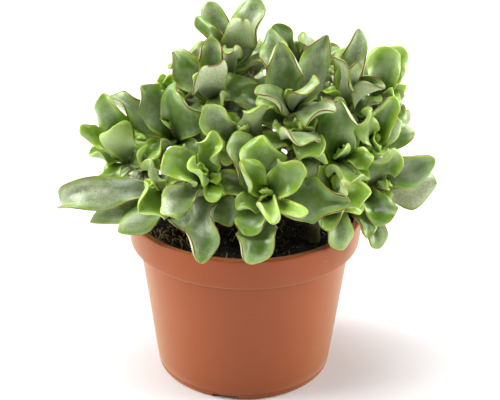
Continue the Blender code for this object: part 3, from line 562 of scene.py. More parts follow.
def posed_leaf(branch, drop, tip, width, bend, facing, rng, attempt):
    """A leaf from its shoot to a tip at a chosen place."""
    jitter = TIP_SHIFT * attempt
    width = width * (1 - WIDTH_LOSS * attempt)
    u = branch.below_tip(drop)
    axis = branch.along(u)
    centre = branch.at(u)
    target = Vector(tip) + Vector([rng.gauss(0, jitter) for _ in range(3)])
    out = target - centre
    out = (out - axis * out.dot(axis)).normalized()
    root = centre + out * ROOT_OFFSET
    chord = target - root
    inward = branch.at(1) + branch.along(1) * HEART_HEIGHT - (root + target) / 2
    face = inward.normalized() * (1 - abs(facing)) + FRONT * (facing + rng.gauss(0, 0.05 * jitter))
    face = (face - chord * face.dot(chord) / chord.length_squared).normalized()
    curl = math.radians(bend)
    raised = chord.normalized() * math.cos(curl * 0.42) + face * math.sin(curl * 0.42)
    length = chord.length * (1 + curl * curl / 22)
    leaf = Leaf(root, raised, face, length, width * POSED_WIDTH, curl, rng)
    leaf.sway = 0.0
    leaf.twist *= POSED_TWIST
    reach = leaf.midrib()[-1][0] - root
    turn = reach.rotation_difference(chord)
    leaf.ahead.rotate(turn)
    leaf.face.rotate(turn)
    leaf.length *= chord.length / reach.length
    return leaf


def rising(axis, turn, rise):
    """The way out from a stem at a turn round it, and the way ahead and the face of a leaf there."""
    level = axis.orthogonal().normalized()
    out = level * math.cos(turn) + axis.cross(level) * math.sin(turn)
    ahead = out * math.cos(rise) + axis * math.sin(rise)
    return out, ahead, axis * math.cos(rise) - out * math.sin(rise)


def grown_leaf(branch, pair, side, spin, scale, rng, attempt):
    """A leaf of one of a shoot's pairs, by the rule of growth."""
    u = branch.below_tip(PAIR_DROP[pair])
    turn = spin + pair * math.pi / 2 + side * math.pi + rng.gauss(0, TURN_SPREAD)
    rise = math.radians(PAIR_RISE_DEG[pair] + rng.gauss(0, RISE_SPREAD_DEG))
    out, ahead, face = rising(branch.along(u), turn, rise)
    shrink = 1 - LENGTH_LOSS * attempt
    length = PAIR_LENGTH[pair] * scale * shrink * rng.uniform(*LENGTH_SHARE)
    width = length * rng.uniform(*WIDTH_SHARE)
    bend = math.radians(PAIR_BEND_DEG[pair] * rng.uniform(*BEND_SHARE))
    root = branch.at(u) + out * ROOT_OFFSET
    return Leaf(root, ahead, face, length, width, bend, rng)


def fits(leaf, thicket, shoot):
    """Whether a leaf's blade, past its root, clears the pot and all that has grown."""
    points, triangles = blade_mesh(leaf, CLEAR_OF_OTHERS_FROM, LEAF_CLEARANCE)
    outer = blade_mesh(leaf, CLEAR_OF_OWN_FROM, LEAF_CLEARANCE)
    return (
        clears_pot(between(points, triangles))
        and thicket.is_clear(points, triangles, False, shoot)
        and thicket.is_clear(*outer, True, shoot)
    )


def grow():
    """Grows all the leaves: {stem name: (foot, branches, leaves)}."""
    feet = dict(STEMS)
    thicket = Thicket()
    plants = {name: (foot, [], []) for name, foot in STEMS}
    branches = {}
    for foot in feet.values():
        thicket.add(None, *foot_mesh(foot))
    for name, stem, tip, lean, *_ in SHOOTS:
        x, y = feet[stem]
        fork = Vector((x, y, soil_height(x, y) + FORK_HEIGHT - 2))
        branches[name] = Branch(fork, Vector(tip), Vector(lean))
        plants[stem][1].append(branches[name])
        thicket.add(name, *branch_mesh(branches[name]))

    stem_of = {name: stem for name, stem, *_ in SHOOTS}

    def settle(name, make):
        """Adds the first of the tried leaves of a shoot that is clear."""
        for attempt in range(TRIES):
            leaf = make(branches[name], attempt)
            if fits(leaf, thicket, name):
                thicket.add(name, *blade_mesh(leaf))
                plants[stem_of[name]][2].append(leaf)
                return

    for number, (name, *pose) in enumerate(POSED_LEAVES):
        rng = Random(GROWTH_SEED + 31 * number)
        settle(name, lambda branch, attempt: posed_leaf(branch, *pose, rng, attempt))
    for pair in range(len(PAIR_DROP)):
        for number, (name, _, _, _, pairs, scale) in enumerate(SHOOTS):
            if pair >= pairs:
                continue
            spin = Random(GROWTH_SEED + number).uniform(0, math.pi)
            for side in (0, 1):
                rng = Random(GROWTH_SEED + 10007 + 101 * number + 7 * pair + side)
                pose = (pair, side, spin, scale)
                settle(name, lambda branch, attempt: grown_leaf(branch, *pose, rng, attempt))
    return plants


def arc(centre, radius, start_deg, end_deg, steps):
    """Points of a round edge in a profile."""
    turns = [math.radians(start_deg + (end_deg - start_deg) * i / steps) for i in range(steps + 1)]
    return [(centre[0] + radius * math.cos(a), centre[1] + radius * math.sin(a)) for a in turns]


def body_radius(z):
    """The outer radius of the pot's tapered body at a height."""
    return FOOT_RADIUS + (BODY_TOP_RADIUS - FOOT_RADIUS) * z / COLLAR_BOTTOM_Z


# Fine leaves: rows along a blade, and points across each of its faces
LONG_LEAF_ROWS = 26
LONG_LEAF_COLUMNS = 13
SMALL_LEAF_ROWS = 12
SMALL_LEAF_COLUMNS = 8
SMALL_LEAF_LENGTH = 15.0
ROWS_TO_TIP = 1.45
ROOT_MARGIN = 3.0
LEAF_ATTRIBUTES = ("age", "under", "tone", "margin", "reach")

# How old a leaf looks, from 0 to 1: it grows with the drop below the tip, with the length and to
# the back, and some shoots look younger down to a drop
AGE_SPAN = 19.0
YOUNG_LENGTH = 17.0
LENGTH_SPAN = 22.0
BACK_AGE = 0.4
BACK_START_Y = -5.0
BACK_SPAN = 35.0
BRIGHT_DROP = 9.5
SHOOT_AGES = {
    "front_middle": 0.6,
    "left_bright": 0.5,
    "front_left": 0.7,
    "right_middle": 0.6,
    "right_bright": 0.75,
    "low_right": 0.7,
    "left_small": 0.6,
}

# The youngest leaves, closed round the tip of each shoot
BUD_LENGTHS = (5.5, 6.0, 9.0)
BUD_SLIMNESS = 0.7
BUD_OFFSET = 0.6
BUD_RISE_DEG = 78
BUD_RISE_STEP_DEG = 7
BUD_BEND_DEG = -12
BUD_FOLD_DEG = 35

# Stems as lines: how far they reach into the soil, and how far apart their points are
ROOT_DEPTH = 8
FOOT_STEPS = 8
BRANCH_STEP = 1.2
BARK_SIDES = 14
RING_SPACING = 11.0

# The turned pot: its rings, the edges of its collar and lip, and a fine groove low on its body
BODY_RINGS_Z = range(8, 70, 6)
INNER_RINGS_Z = (56, 40, 24, 10)
STEP_ROUNDING = 0.8
COLLAR_ROUNDING = 1.0
COLLAR_RINGS = 5
COLLAR_RING_GAP = 2.6
COLLAR_BELLY = 0.12
INNER_LIP_ROUNDING = 0.5
INNER_LIP_DROP = 0.6
LIP_BEVEL = 0.5
LIP_BEVEL_DROP = 0.6
LIP_FOOT_DROP = 1.5
GROOVE_Z = 3.4
GROOVE_DEPTH = 0.12
SHARP_DEG = 40

# What is cut in its foot: channels from below it to past its edge, under ridges inside, and holes
CHANNEL_OVERSHOOT = 4
CHANNEL_CUT_Z = -2.0
RIDGE_Z = 0.5
RIDGE_TRIM_Z = 8.0
DRAIN_CUT_Z = (1.0, 6.0)
DRAIN_HOLE_SIDES = 32

# The compost: a plug with rings of points on its top, and the straw's heap at the front left
PLUG_SIDES = 144
PLUG_RINGS = 39
FIRST_PLUG_RADIUS = 1.2
PLUG_RING_GAP = 1.45
PLUG_EDGE_DROP = 4
PLUG_BOTTOM_Z = 5
LUMP_SIZE = 9.0
HEAP_PLACE = (-38.0, -27.0, 82.0)
GRIT_DENSITY = 2600.0

# The studio: its floor, in metres, the camera's sensor, and the way to each wide distant light
FLOOR_HALF_WIDTH = 6.0
SENSOR_WIDTH = 36
LIGHT_SPREAD_DEG = 45
LIGHTS = {"left": (-1.0, 0.05, 0.5), "right": (1.0, 0.15, 0.45), "top": (-0.15, 0.08, 1.0)}


def placed(name, data):
    """A linked object that holds a mesh, a light or a camera."""
    made = bpy.data.objects.new(name, data)
    bpy.context.scene.collection.objects.link(made)
    return made


def object_from(name, work):
    """A linked object from a finished bmesh."""
    mesh = bpy.data.meshes.new(name)
    work.to_mesh(mesh)
    work.free()
    return placed(name, mesh)


def baked(obj, name):
    """The evaluated object as a plain mesh object at the origin, with the first one removed."""
    graph = bpy.context.evaluated_depsgraph_get()
    mesh = bpy.data.meshes.new_from_object(obj.evaluated_get(graph))
    mesh.name = name
    bpy.data.objects.remove(obj)
    return placed(name, mesh)


def face_outwards(obj, merge=True):
    """Turns the faces of closed forms outwards, after merging doubles where asked to."""
    work = bmesh.new()
    work.from_mesh(obj.data)
    if merge:
        bmesh.ops.remove_doubles(work, verts=work.verts, dist=1e-6)
    bmesh.ops.recalc_face_normals(work, faces=work.faces)
    work.to_mesh(obj.data)
    work.free()


def finish_piece(obj, slot, *nodes):
    """Rides the root body and stands for the named solids, which it hides; the slot is not used."""
    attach(obj, "root")
    if nodes:
        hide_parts(*nodes)


def channel_turns():
    """The direction of each drain channel under the foot."""
    return [math.radians(FIRST_CHANNEL_DEG - 90 + 360 * i / CHANNELS) for i in range(CHANNELS)]


def channel_boxes(name, margin, bottom):
    """A box with rounded upper edges for each drain channel, larger by a margin, along its radius."""
    work = bmesh.new()
    inner = CHANNEL_INNER_RADIUS - margin
    outer = FOOT_RADIUS + CHANNEL_OVERSHOOT
    width = CHANNEL_WIDTH + 2 * margin
    height = CHANNEL_HEIGHT + margin
    for turn in channel_turns():
        corners = bmesh.ops.create_cube(work, size=1)["verts"]
        for corner in corners:
            corner.co.x = inner + (outer - inner) * (corner.co.x + 0.5)
            corner.co.y *= width
            corner.co.z = bottom + (height - bottom) * (corner.co.z + 0.5)
        upper = {v for v in corners if v.co.z > (bottom + height) / 2}
        edges = [e for e in work.edges if e.verts[0] in upper and e.verts[1] in upper]
        long_edges = [e for e in edges if abs(e.verts[0].co.x - e.verts[1].co.x) > 1]
        for corner in corners:
            corner.co.rotate(Matrix.Rotation(turn, 3, "Z"))
        rounding = {"offset": CHANNEL_ROUNDING, "segments": 4, "profile": 0.5}
        bmesh.ops.bevel(work, geom=long_edges, affect="EDGES", **rounding)
    bmesh.ops.scale(work, vec=(MM, MM, MM), verts=work.verts)
    bmesh.ops.recalc_face_normals(work, faces=work.faces)
    return object_from(name, work)


def upright_cones(name, places, heights, radii, sides):
    """Closed upright cones or cylinders at the places, from the low height and radius to the high."""
    work = bmesh.new()
    for x, y in places:
        bmesh.ops.create_cone(
            work,
            cap_ends=True,
            segments=sides,
            radius1=radii[0] * MM,
            radius2=radii[1] * MM,
            depth=(heights[1] - heights[0]) * MM,
            matrix=Matrix.Translation(Vector((x, y, sum(heights) / 2)) * MM),
        )
    return object_from(name, work)


# Node trees


class Term:
    """An output in a node tree, so that node maths is written as sums and products."""

    def __init__(self, graph, output):
        self.graph = graph
        self.output = output

    def calc(self, operation, other=0.0):
        """The term itself, or the term and another, through a math node."""
        return self.graph.add("ShaderNodeMath", {0: self, 1: other}, operation=operation)

    def __add__(self, other):
        return self.calc("ADD", other)

    def __sub__(self, other):
        return self.calc("SUBTRACT", other)

    def __rsub__(self, other):
        return self.graph.add("ShaderNodeMath", {0: other, 1: self}, operation="SUBTRACT")

    def __mul__(self, other):
        return self.calc("MULTIPLY", other)

    def __truediv__(self, other):
        return self.calc("DIVIDE", other)

    def __rtruediv__(self, other):
        return self.graph.add("ShaderNodeMath", {0: other, 1: self}, operation="DIVIDE")

    def eased(self, low, high):
        """0 below low, 1 above high and smooth between; low may be the larger."""
        inputs = {"Value": self, "From Min": low, "From Max": high}
        return self.graph.add("ShaderNodeMapRange", inputs, interpolation_type="SMOOTHSTEP")


class Graph:
    """A node tree in the making."""

    def __init__(self, tree):
        self.tree = tree

    def feed(self, node, inputs):
        """Links a node's inputs where given a term, and sets them otherwise."""
        for key, value in dict(inputs).items():
            if isinstance(value, Term):
                self.tree.links.new(value.output, node.inputs[key])
            else:
                node.inputs[key].default_value = value

    def add(self, kind, inputs=(), output=0, **settings):
        """Adds a node with its settings and inputs, and gives one of its outputs."""
        node = self.tree.nodes.new(kind)
        for name, value in settings.items():
            setattr(node, name, value)
        self.feed(node, inputs)
        return Term(self, node.outputs[output])

    def noise(self, place, scale, detail=2.0, roughness=0.5):
        inputs = {"Vector": place, "Scale": scale, "Detail": detail, "Roughness": roughness}
        return self.add("ShaderNodeTexNoise", inputs)

    def split_z(self, vector):
        """The Z of a vector."""
        return self.add("ShaderNodeSeparateXYZ", {0: vector}, 2)


# Materials


class Finish(Graph):
    """A material in the making, round its Principled shader."""

    def __init__(self, name):
        self.material = bpy.data.materials.new(name)
        self.material.use_nodes = True
        super().__init__(self.material.node_tree)

    def place(self, stretch=None):
        """The place on the object, stretched where a scale is given."""
        found = self.add("ShaderNodeTexCoord", output="Object")
        if stretch:
            found = self.add("ShaderNodeMapping", {"Vector": found, "Scale": stretch})
        return found

    def attribute(self, name):
        return self.add("ShaderNodeAttribute", output="Fac", attribute_name=name)

    def blend(self, factor, a, b):
        """Colour a where the factor is 0 and colour b where it is 1."""
        a, b = (c if isinstance(c, Term) else (*c, 1.0) for c in (a, b))
        return self.add("ShaderNodeMix", {0: factor, 6: a, 7: b}, 2, data_type="RGBA")

    def end(self, values, height=None, distance=0.0):
        """The material, with its shader's inputs fed and a bump where a height is given."""
        if height is not None:
            values["Normal"] = self.add("ShaderNodeBump", {"Height": height, "Distance": distance})
        self.feed(self.tree.nodes["Principled BSDF"], values)
        return self.material


def shade(colour, factor):
    """The colour made darker by a factor under 1."""
    return tuple(factor * c for c in colour)


def plastic_material(settings):
    """Terracotta-coloured plastic: a soft sheen, faint flow marks, fine scratches, dark specks and a painted
    shade band under the collar.
    """
    finish = Finish("terracotta plastic")
    place = finish.place()
    cloud = finish.noise(place, 28, 3)
    flow = finish.noise(finish.place((90, 90, 7)), 1, 3)
    speck = finish.noise(place, 900, 1).eased(0.70, 0.78)
    scratch = finish.noise(finish.place((60, 60, 900)), 1, 4, 0.7)
    scratches = scratch.eased(0.66, 0.70) * cloud.eased(0.5, 0.62)
    base = settings.colour
    pale = tuple(0.75 * c + 0.25 * 0.62 for c in base)
    colour = finish.blend(cloud * 0.5, base, shade(base, 0.86))
    colour = finish.blend(flow * 0.08, colour, pale)
    colour = finish.blend(scratches * 0.35, colour, pale)
    colour = finish.blend(speck * 0.25, colour, (0.2, 0.07, 0.04))
    # Painted shade: a dark band on the body just under the collar, where the collar's shadow falls
    height = finish.split_z(place)
    step = COLLAR_BOTTOM_Z * MM
    painted_shade_under_collar = height.eased(step - 0.005, step - 0.0008) * 0.45 * height.eased(step + 0.0006, step)
    values = {
        "Base Color": finish.blend(painted_shade_under_collar, colour, shade(base, 0.4)),
        "Roughness": cloud * 0.14 + 0.33,
        "Specular IOR Level": 0.3,
        "Sheen Weight": 0.55,
        "Sheen Roughness": 0.4,
        "Sheen Tint": (1.0, 0.88, 0.52, 1),
        "Subsurface Weight": 0.08,
        "Subsurface Radius": (1.0, 0.3, 0.15),
        "Subsurface Scale": 0.0015,
    }
    return finish.end(values, flow + scratches, 0.00004)


def soil_material():
    """Dark damp compost, browner in its lumps."""
    finish = Finish("dark compost")
    place = finish.place()
    grain = finish.noise(place, 900, 3)
    lump = finish.noise(place, 120, 3)
    colour = finish.blend(grain.eased(0.35, 0.7), (0.006, 0.0045, 0.0035), (0.03, 0.02, 0.013))
    colour = finish.blend(lump.eased(0.55, 0.75), colour, (0.045, 0.028, 0.016))
    return finish.end({"Base Color": colour, "Roughness": 0.85}, grain, 0.0006)


def plain_material(name, colour, roughness, variety=0.3, scale=700):
    """A matt finish whose colour varies a little in small spots."""
    finish = Finish(name)
    spots = finish.noise(finish.place(), scale, 2)
    varied = finish.blend(spots, colour, shade(colour, 1 - variety))
    return finish.end({"Base Color": varied, "Roughness": roughness})


def bark_material():
    """Green-brown young bark with paler rings."""
    finish = Finish("young bark")
    rings = finish.noise(finish.place((120, 120, 500)), 1, 3)
    colour = finish.blend(rings, (0.10, 0.085, 0.035), (0.20, 0.21, 0.09))
    return finish.end({"Base Color": colour, "Roughness": 0.6}, rings, 0.0004)


def leaf_material(settings):
    """Waxy flesh: lime when young, mid green later, with a silver bloom and a fine red margin; painted shade
    darkens the cupped middle of each upper face and, in part, the blade towards its root.
    """
    finish = Finish("waxy silver-green leaf")
    age, under, tone, margin, reach = (finish.attribute(name) for name in LEAF_ATTRIBUTES)
    place = finish.place()
    blotch = finish.noise(place, 75, 3, 0.55)
    speckle = finish.noise(place, 1500, 2, 0.6)
    mottle = finish.noise(place, 420, 3, 0.6)
    ripe = (age + tone * 0.3).eased(0.3, 1.05)
    wavy = margin + blotch * 2.4
    # Painted shade: the middle of the upper face, away from the margins, is darkened where the cupped blade
    # lies in shade
    heart = wavy.eased(3.2, 7.5) * under.eased(0.8, 0.2)
    inward = (wavy.eased(1.4, 4.4) * 0.85 + 0.15).calc("MAXIMUM", under * wavy.eased(0.6, 2.2))
    most = (ripe * 0.56 + 0.40) * inward * under.calc("MAXIMUM", 0.85 - tone * 0.6)
    grain = speckle.eased(0.66, 0.40) * 0.5 + 0.5
    silver = blotch * 1.5 + under * 0.42 + age * 0.25 + mottle * 0.4 - heart * 0.15
    silver = silver.eased(0.66, 1.42) * (most * grain)
    rim = finish.blend(ripe, settings.glow_colour, settings.rim_colour)
    line = (margin + mottle * 0.30).eased(0.52, 0.30) * blotch.eased(0.28, 0.5) * ripe.eased(0.05, 0.95)
    green = settings.green_colour
    colour = finish.blend(ripe, settings.young_colour, green)
    for share, coat in (
        # painted shade in the cupped middle of the upper face
        (heart * (ripe * 0.2 + 0.55), shade(green, 0.38)),
        (silver, settings.bloom_colour),
        # darker towards the root: partly deeper green flesh, partly painted shade of the rosette's depths
        (reach.eased(0.72, 0.08) * 0.85, shade(green, 0.2)),
        (wavy.eased(3.3, 1.4) * 0.7, rim),
        (wavy.eased(2.4, 0.9) * (ripe * 0.45), settings.blush_colour),
        (line, settings.margin_colour),
    ):
        colour = finish.blend(share, colour, coat)
    values = {
        "Base Color": colour,
        "Roughness": silver * 0.16 + 0.30,
        "Specular IOR Level": 0.5,
        "Coat Weight": 0.35,
        "Coat Roughness": 0.28,
        "Sheen Weight": 0.25,
        "Sheen Roughness": 0.35,
        "Sheen Tint": (0.95, 0.95, 0.88, 1),
        "Subsurface Weight": 0.12,
        "Subsurface Radius": (0.5, 1.0, 0.15),
        "Subsurface Scale": 0.0018,
    }
    return finish.end(values, mottle + speckle * 0.3, 0.00012)


# Geometry node trees


class GeometryGraph(Graph):
    """A geometry tree in the making: named inputs, and one material on all that it makes."""

    def __init__(self, name, kinds):
        super().__init__(bpy.data.node_groups.new(name, "GeometryNodeTree"))
        sockets = {"Geometry": "Geometry", **kinds, "Material": "Material"}
        for socket, kind in sockets.items():
            self.tree.interface.new_socket(socket, in_out="INPUT", socket_type="NodeSocket" + kind)
        self.tree.interface.new_socket("Geometry", in_out="OUTPUT", socket_type="NodeSocketGeometry")
        node = self.tree.nodes.new("NodeGroupInput")
        self.given = {socket: Term(self, node.outputs[socket]) for socket in sockets}

    def place(self):
        return self.add("GeometryNodeInputPosition")

    def look_up(self):
        """How far a face looks up: 1 where it is level."""
        return self.split_z(self.add("GeometryNodeInputNormal"))

    def end(self, geometry):
        """The tree, ended in Realize Instances and Set Material."""
        real = self.add("GeometryNodeRealizeInstances", {0: geometry})
        inputs = {"Geometry": real, "Material": self.given["Material"]}
        coated = self.add("GeometryNodeSetMaterial", inputs)
        self.feed(self.tree.nodes.new("NodeGroupOutput"), {0: coated})
        return self

    def put_on(self, obj, values):
        """Puts the tree on the object, with its inputs set by their identifiers."""
        modifier = obj.modifiers.new(self.tree.name, "NODES")
        modifier.node_group = self.tree
        for item in self.tree.interface.items_tree:
            if item.in_out == "INPUT" and item.name in values:
                modifier[item.identifier] = values[item.name]


def turned_tree():
    """Turns a profile, given as a row of points, round the Z axis."""
    graph = GeometryGraph("Turned from a profile", {"Sides": "Int", "Points": "Int"})
    profile, sides, points = (graph.given[name] for name in ("Geometry", "Sides", "Points"))
    sheet = graph.add("GeometryNodeMeshGrid", {"Vertices X": sides + 1.0, "Vertices Y": points}, "Mesh")
    index = graph.add("GeometryNodeInputIndex")
    turn = (index / points).calc("FLOOR") * (2 * math.pi) / sides
    inputs = {"Geometry": profile, "Value": graph.place(), "Index": index.calc("MODULO", points)}
    read = graph.add("GeometryNodeSampleIndex", inputs, data_type="FLOAT_VECTOR", domain="POINT")
    spun = graph.add("ShaderNodeVectorRotate", {"Vector": read, "Angle": turn}, rotation_type="Z_AXIS")
    moved = graph.add("GeometryNodeSetPosition", {"Geometry": sheet, "Position": spun})
    return graph.end(graph.add("GeometryNodeMergeByDistance", {"Geometry": moved, "Distance": 1e-6}))


def lumpy_tree():
    """Heaps and pits on faces that look up."""
    graph = GeometryGraph("Lumpy ground", {"Lump Size": "Float", "Lump Height": "Float"})
    given = graph.given
    lump = graph.noise(graph.place(), 1.0 / given["Lump Size"], 4, 0.6) - 0.5
    height = lump * given["Lump Height"] * graph.look_up().eased(0.4, 0.8)
    offset = graph.add("ShaderNodeCombineXYZ", {2: height})
    inputs = {"Geometry": given["Geometry"], "Offset": offset}
    return graph.end(graph.add("GeometryNodeSetPosition", inputs))


def strewn_tree(name, shape):
    """Strews small shapes over the faces that look up. shape(graph) gives the thing strewn."""
    kinds = dict.fromkeys(("Density", "Heaped", "Heap", "Smallest", "Largest"), "Float")
    graph = GeometryGraph(name, {**kinds, "Heap": "Vector", "Seed": "Int"})
    given = graph.given
    ends = {0: graph.place(), 1: given["Heap"]}
    away = graph.add("ShaderNodeVectorMath", ends, "Value", operation="DISTANCE")
    thickness = (away.eased(0.022, 0.005) * 4.5 - 0.6) * given["Heaped"] + 1.0
    inputs = {
        "Mesh": given["Geometry"],
        "Selection": graph.look_up().calc("GREATER_THAN", 0.6),
        "Density": given["Density"] * thickness,
        "Seed": given["Seed"],
    }
    points = graph.add("GeometryNodeDistributePointsOnFaces", inputs, "Points")
    inputs = {2: given["Smallest"], 3: given["Largest"], "Seed": given["Seed"] + 1.0}
    size = graph.add("FunctionNodeRandomValue", inputs, 1, data_type="FLOAT")
    inputs = {0: (0.0, 0.0, 0.0), 1: (2 * math.pi,) * 3, "Seed": given["Seed"]}
    turn = graph.add("FunctionNodeRandomValue", inputs, data_type="FLOAT_VECTOR")
    inputs = {"Points": points, "Instance": shape(graph), "Rotation": turn, "Scale": size}
    return graph.end(graph.add("GeometryNodeInstanceOnPoints", inputs))


def crumb_shape(graph):
    """A crumb one unit across with an uneven skin."""
    ball = graph.add("GeometryNodeMeshIcoSphere", {"Radius": 0.5, "Subdivisions": 1})
    place = graph.place()
    size = graph.noise(place, 2.2, 1) * 0.9 + 0.5
    moved = graph.add("ShaderNodeVectorMath", {0: place, "Scale": size}, operation="SCALE")
    return graph.add("GeometryNodeSetPosition", {"Geometry": ball, "Position": moved})


def fibre_shape(graph):
    """A thin bent fibre one unit long."""
    bend = {"Resolution": 5, "Start": (-0.5, 0.0, 0.0), "Middle": (0.0, 0.12, 0.1), "End": (0.5, 0.0, 0.0)}
    line = graph.add("GeometryNodeCurveQuadraticBezier", bend)
    ring = graph.add("GeometryNodeCurvePrimitiveCircle", {"Resolution": 4, "Radius": 0.045})
    inputs = {"Curve": line, "Profile Curve": ring, "Fill Caps": True}
    return graph.add("GeometryNodeCurveToMesh", inputs)


def bark_tree():
    """Thickens a stem's centre lines into tapering stems with rings where leaves have dropped."""
    graph = GeometryGraph("Stems from lines", {"Sides": "Int", "Ring Spacing": "Float"})
    given = graph.given
    curve = graph.add("GeometryNodeMeshToCurve", {"Mesh": given["Geometry"]})
    radius = graph.add("GeometryNodeInputNamedAttribute", {"Name": "radius"}, data_type="FLOAT")
    along = graph.add("GeometryNodeSplineParameter", output="Length")
    ring = along * (2 * math.pi / given["Ring Spacing"])
    swell = ring.calc("COSINE").calc("ABSOLUTE").calc("POWER", 6.0)
    radius = radius * (swell * 0.1 + 0.96)
    sized = graph.add("GeometryNodeSetCurveRadius", {"Curve": curve, "Radius": radius})
    circle = graph.add("GeometryNodeCurvePrimitiveCircle", {"Resolution": given["Sides"], "Radius": 1.0})
    inputs = {"Curve": sized, "Profile Curve": circle, "Scale": radius, "Fill Caps": True}
    swept = graph.add("GeometryNodeCurveToMesh", inputs)
    return graph.end(graph.add("GeometryNodeSetShadeSmooth", {"Geometry": swept}))


# Fine leaves


def frame_at(frames, t):
    """The midrib's frame at any t, between its steps."""
    place = t * MIDRIB_STEPS
    i = min(int(place), MIDRIB_STEPS - 1)
    point, ahead, face = (a.lerp(b, place - i) for a, b in zip(frames[i], frames[i + 1]))
    ahead.normalize()
    return point, ahead, (face - ahead * face.dot(ahead)).normalized()


class LeafSheaf:
    """Fine leaves gathered into one mesh, with the attributes that their material reads."""

    def __init__(self):
        self.points = []
        self.faces = []
        self.values = {key: [] for key in LEAF_ATTRIBUTES}

    def add_point(self, place, **values):
        self.points.append(place * MM)
        for key, value in values.items():
            self.values[key].append(value)

    def add(self, leaf, age, rng):
        """A closed blade: rings of points run round both faces from margin to margin."""
        small = leaf.length < SMALL_LEAF_LENGTH
        rows = SMALL_LEAF_ROWS if small else LONG_LEAF_ROWS
        columns = SMALL_LEAF_COLUMNS if small else LONG_LEAF_COLUMNS
        ring = 2 * columns
        frames = leaf.midrib()
        whole = {"age": age, "tone": rng.random()}
        start = len(self.points)
        for row in range(rows):
            t = 1 - (1 - row / rows) ** ROWS_TO_TIP
            here = frame_at(frames, t)
            for k in range(ring):
                s = -math.cos(math.pi * k / columns)
                point = leaf.point(here, t, s, 1 if k <= columns else -1)
                inside = min(leaf.half_width(t, s > 0) * (1 - abs(s)), leaf.length * (1 - t) * 0.9)
                under = 0.5 if k in (0, columns) else float(k > columns)
                self.add_point(point, margin=max(0.0, inside), under=under, reach=t, **whole)
        tip = len(self.points)
        self.add_point(frames[-1][0], margin=0.0, under=0.5, reach=1.0, **whole)
        self.add_point(leaf.root, margin=ROOT_MARGIN, under=0.5, reach=0.0, **whole)
        last = tip - ring
        around = [(k, (k + 1) % ring) for k in range(ring)]
        for a in range(start, last, ring):
            self.faces += [(a + k, a + j, a + ring + j, a + ring + k) for k, j in around]
        for k, j in around:
            self.faces += [(last + k, last + j, tip), (start + j, start + k, tip + 1)]

    def to_object(self, name, material):
        mesh = bpy.data.meshes.new(name)
        mesh.from_pydata(self.points, [], self.faces)
        for key in LEAF_ATTRIBUTES:
            mesh.attributes.new(key, "FLOAT", "POINT").data.foreach_set("value", self.values[key])
        mesh.materials.append(material)
        mesh.shade_smooth()
        return placed(name, mesh)


def leaf_age(leaf, shoots, branches):
    """How old a leaf looks, by its place below the nearest tip, its length and its side of the bush."""
    drop, shoot = min(((leaf.root - b.at(1)).length, shoot) for shoot, b in zip(shoots, branches))
    age = max(drop / AGE_SPAN, (leaf.length - YOUNG_LENGTH) / LENGTH_SPAN)
    age += BACK_AGE * smooth((leaf.root.y - BACK_START_Y) / BACK_SPAN)
    if drop < BRIGHT_DROP:
        age *= SHOOT_AGES.get(shoot, 1.0)
    return min(1.0, age)


def bud_leaves(branch, rng):
    """The youngest leaves in a shoot's heart, closed round its tip."""
    spin = rng.uniform(0, 2 * math.pi)
    for i, usual_length in enumerate(BUD_LENGTHS):
        turn = spin + i * math.pi + (i // 2) * math.pi / 2
        rise = math.radians(BUD_RISE_DEG - BUD_RISE_STEP_DEG * (i // 2) + rng.uniform(-5, 5))
        out, ahead, face = rising(branch.along(1), turn, rise)
        length = usual_length * rng.uniform(0.9, 1.15)
        root = branch.at(1) + out * BUD_OFFSET
        leaf = Leaf(root, ahead, face, length, length * BUD_SLIMNESS, math.radians(BUD_BEND_DEG), rng)
        leaf.lobes = 0.0
        leaf.fold = math.radians(BUD_FOLD_DEG)
        yield leaf


def centre_lines(name, foot, branches):
    """An object of bare edges along a plant's foot and branches, with the radius of each point."""
    x, y = foot
    bottom = soil_height(x, y) - ROOT_DEPTH
    rise = (FORK_HEIGHT + ROOT_DEPTH) / FOOT_STEPS
    runs = [[(Vector((x, y, bottom + k * rise)), FOOT_STEM_RADIUS) for k in range(FOOT_STEPS + 1)]]
    for branch in branches:
        steps = max(8, round(branch.length / BRANCH_STEP))
        runs.append([(branch.at(k / steps), branch.radius(k / steps)) for k in range(steps + 1)])
    points = []
    radii = []
    edges = []
    for run in runs:
        first = len(points)
        points += [p * MM for p, _ in run]
        radii += [r * MM for _, r in run]
        edges += [(first + k, first + k + 1) for k in range(len(run) - 1)]
    mesh = bpy.data.meshes.new(name)
    mesh.from_pydata(points, edges, [])
    mesh.attributes.new("radius", "FLOAT", "POINT").data.foreach_set("value", radii)
    return placed(name, mesh)


# Settings


def colour_setting(name, description, default):
    """A colour that a user can change."""
    return FloatVectorProperty(name=name, description=description, subtype="COLOR", size=3, default=default)


class PotSettings(bpy.types.PropertyGroup):
    sides: IntProperty(name="Sides", description="Faces round the pot", default=192, min=24)
    colour: colour_setting("Plastic", "Colour of the plastic", (0.315, 0.057, 0.002))


class SoilSettings(bpy.types.PropertyGroup):
    lump_height: FloatProperty(
        name="Lumps", description="Height of the lumps on the soil", unit="LENGTH", default=0.0022
    )
    crumb_density: FloatProperty(name="Crumbs", description="For each square metre", default=420000.0)
    fibre_density: FloatProperty(name="Fibres", description="For each square metre", default=32000.0)
    seed: IntProperty(name="Seed", description="Where the crumbs and fibres fall", default=4)


class LeafSettings(bpy.types.PropertyGroup):
    young_colour: colour_setting("Young", "Young flesh", (0.27, 0.48, 0.02))
    green_colour: colour_setting("Green", "Grown flesh", (0.13, 0.28, 0.012))
    bloom_colour: colour_setting("Bloom", "Silvery wax on the flesh", (0.73, 0.76, 0.55))
    rim_colour: colour_setting("Rim", "Band inside the margin", (0.30, 0.50, 0.05))
    glow_colour: colour_setting("Glow", "Band on young leaves", (0.50, 0.66, 0.09))
    blush_colour: colour_setting("Blush", "Warm tint near the margin", (0.42, 0.27, 0.04))
    margin_colour: colour_setting("Margin", "Thin line on the margin", (0.17, 0.03, 0.022))


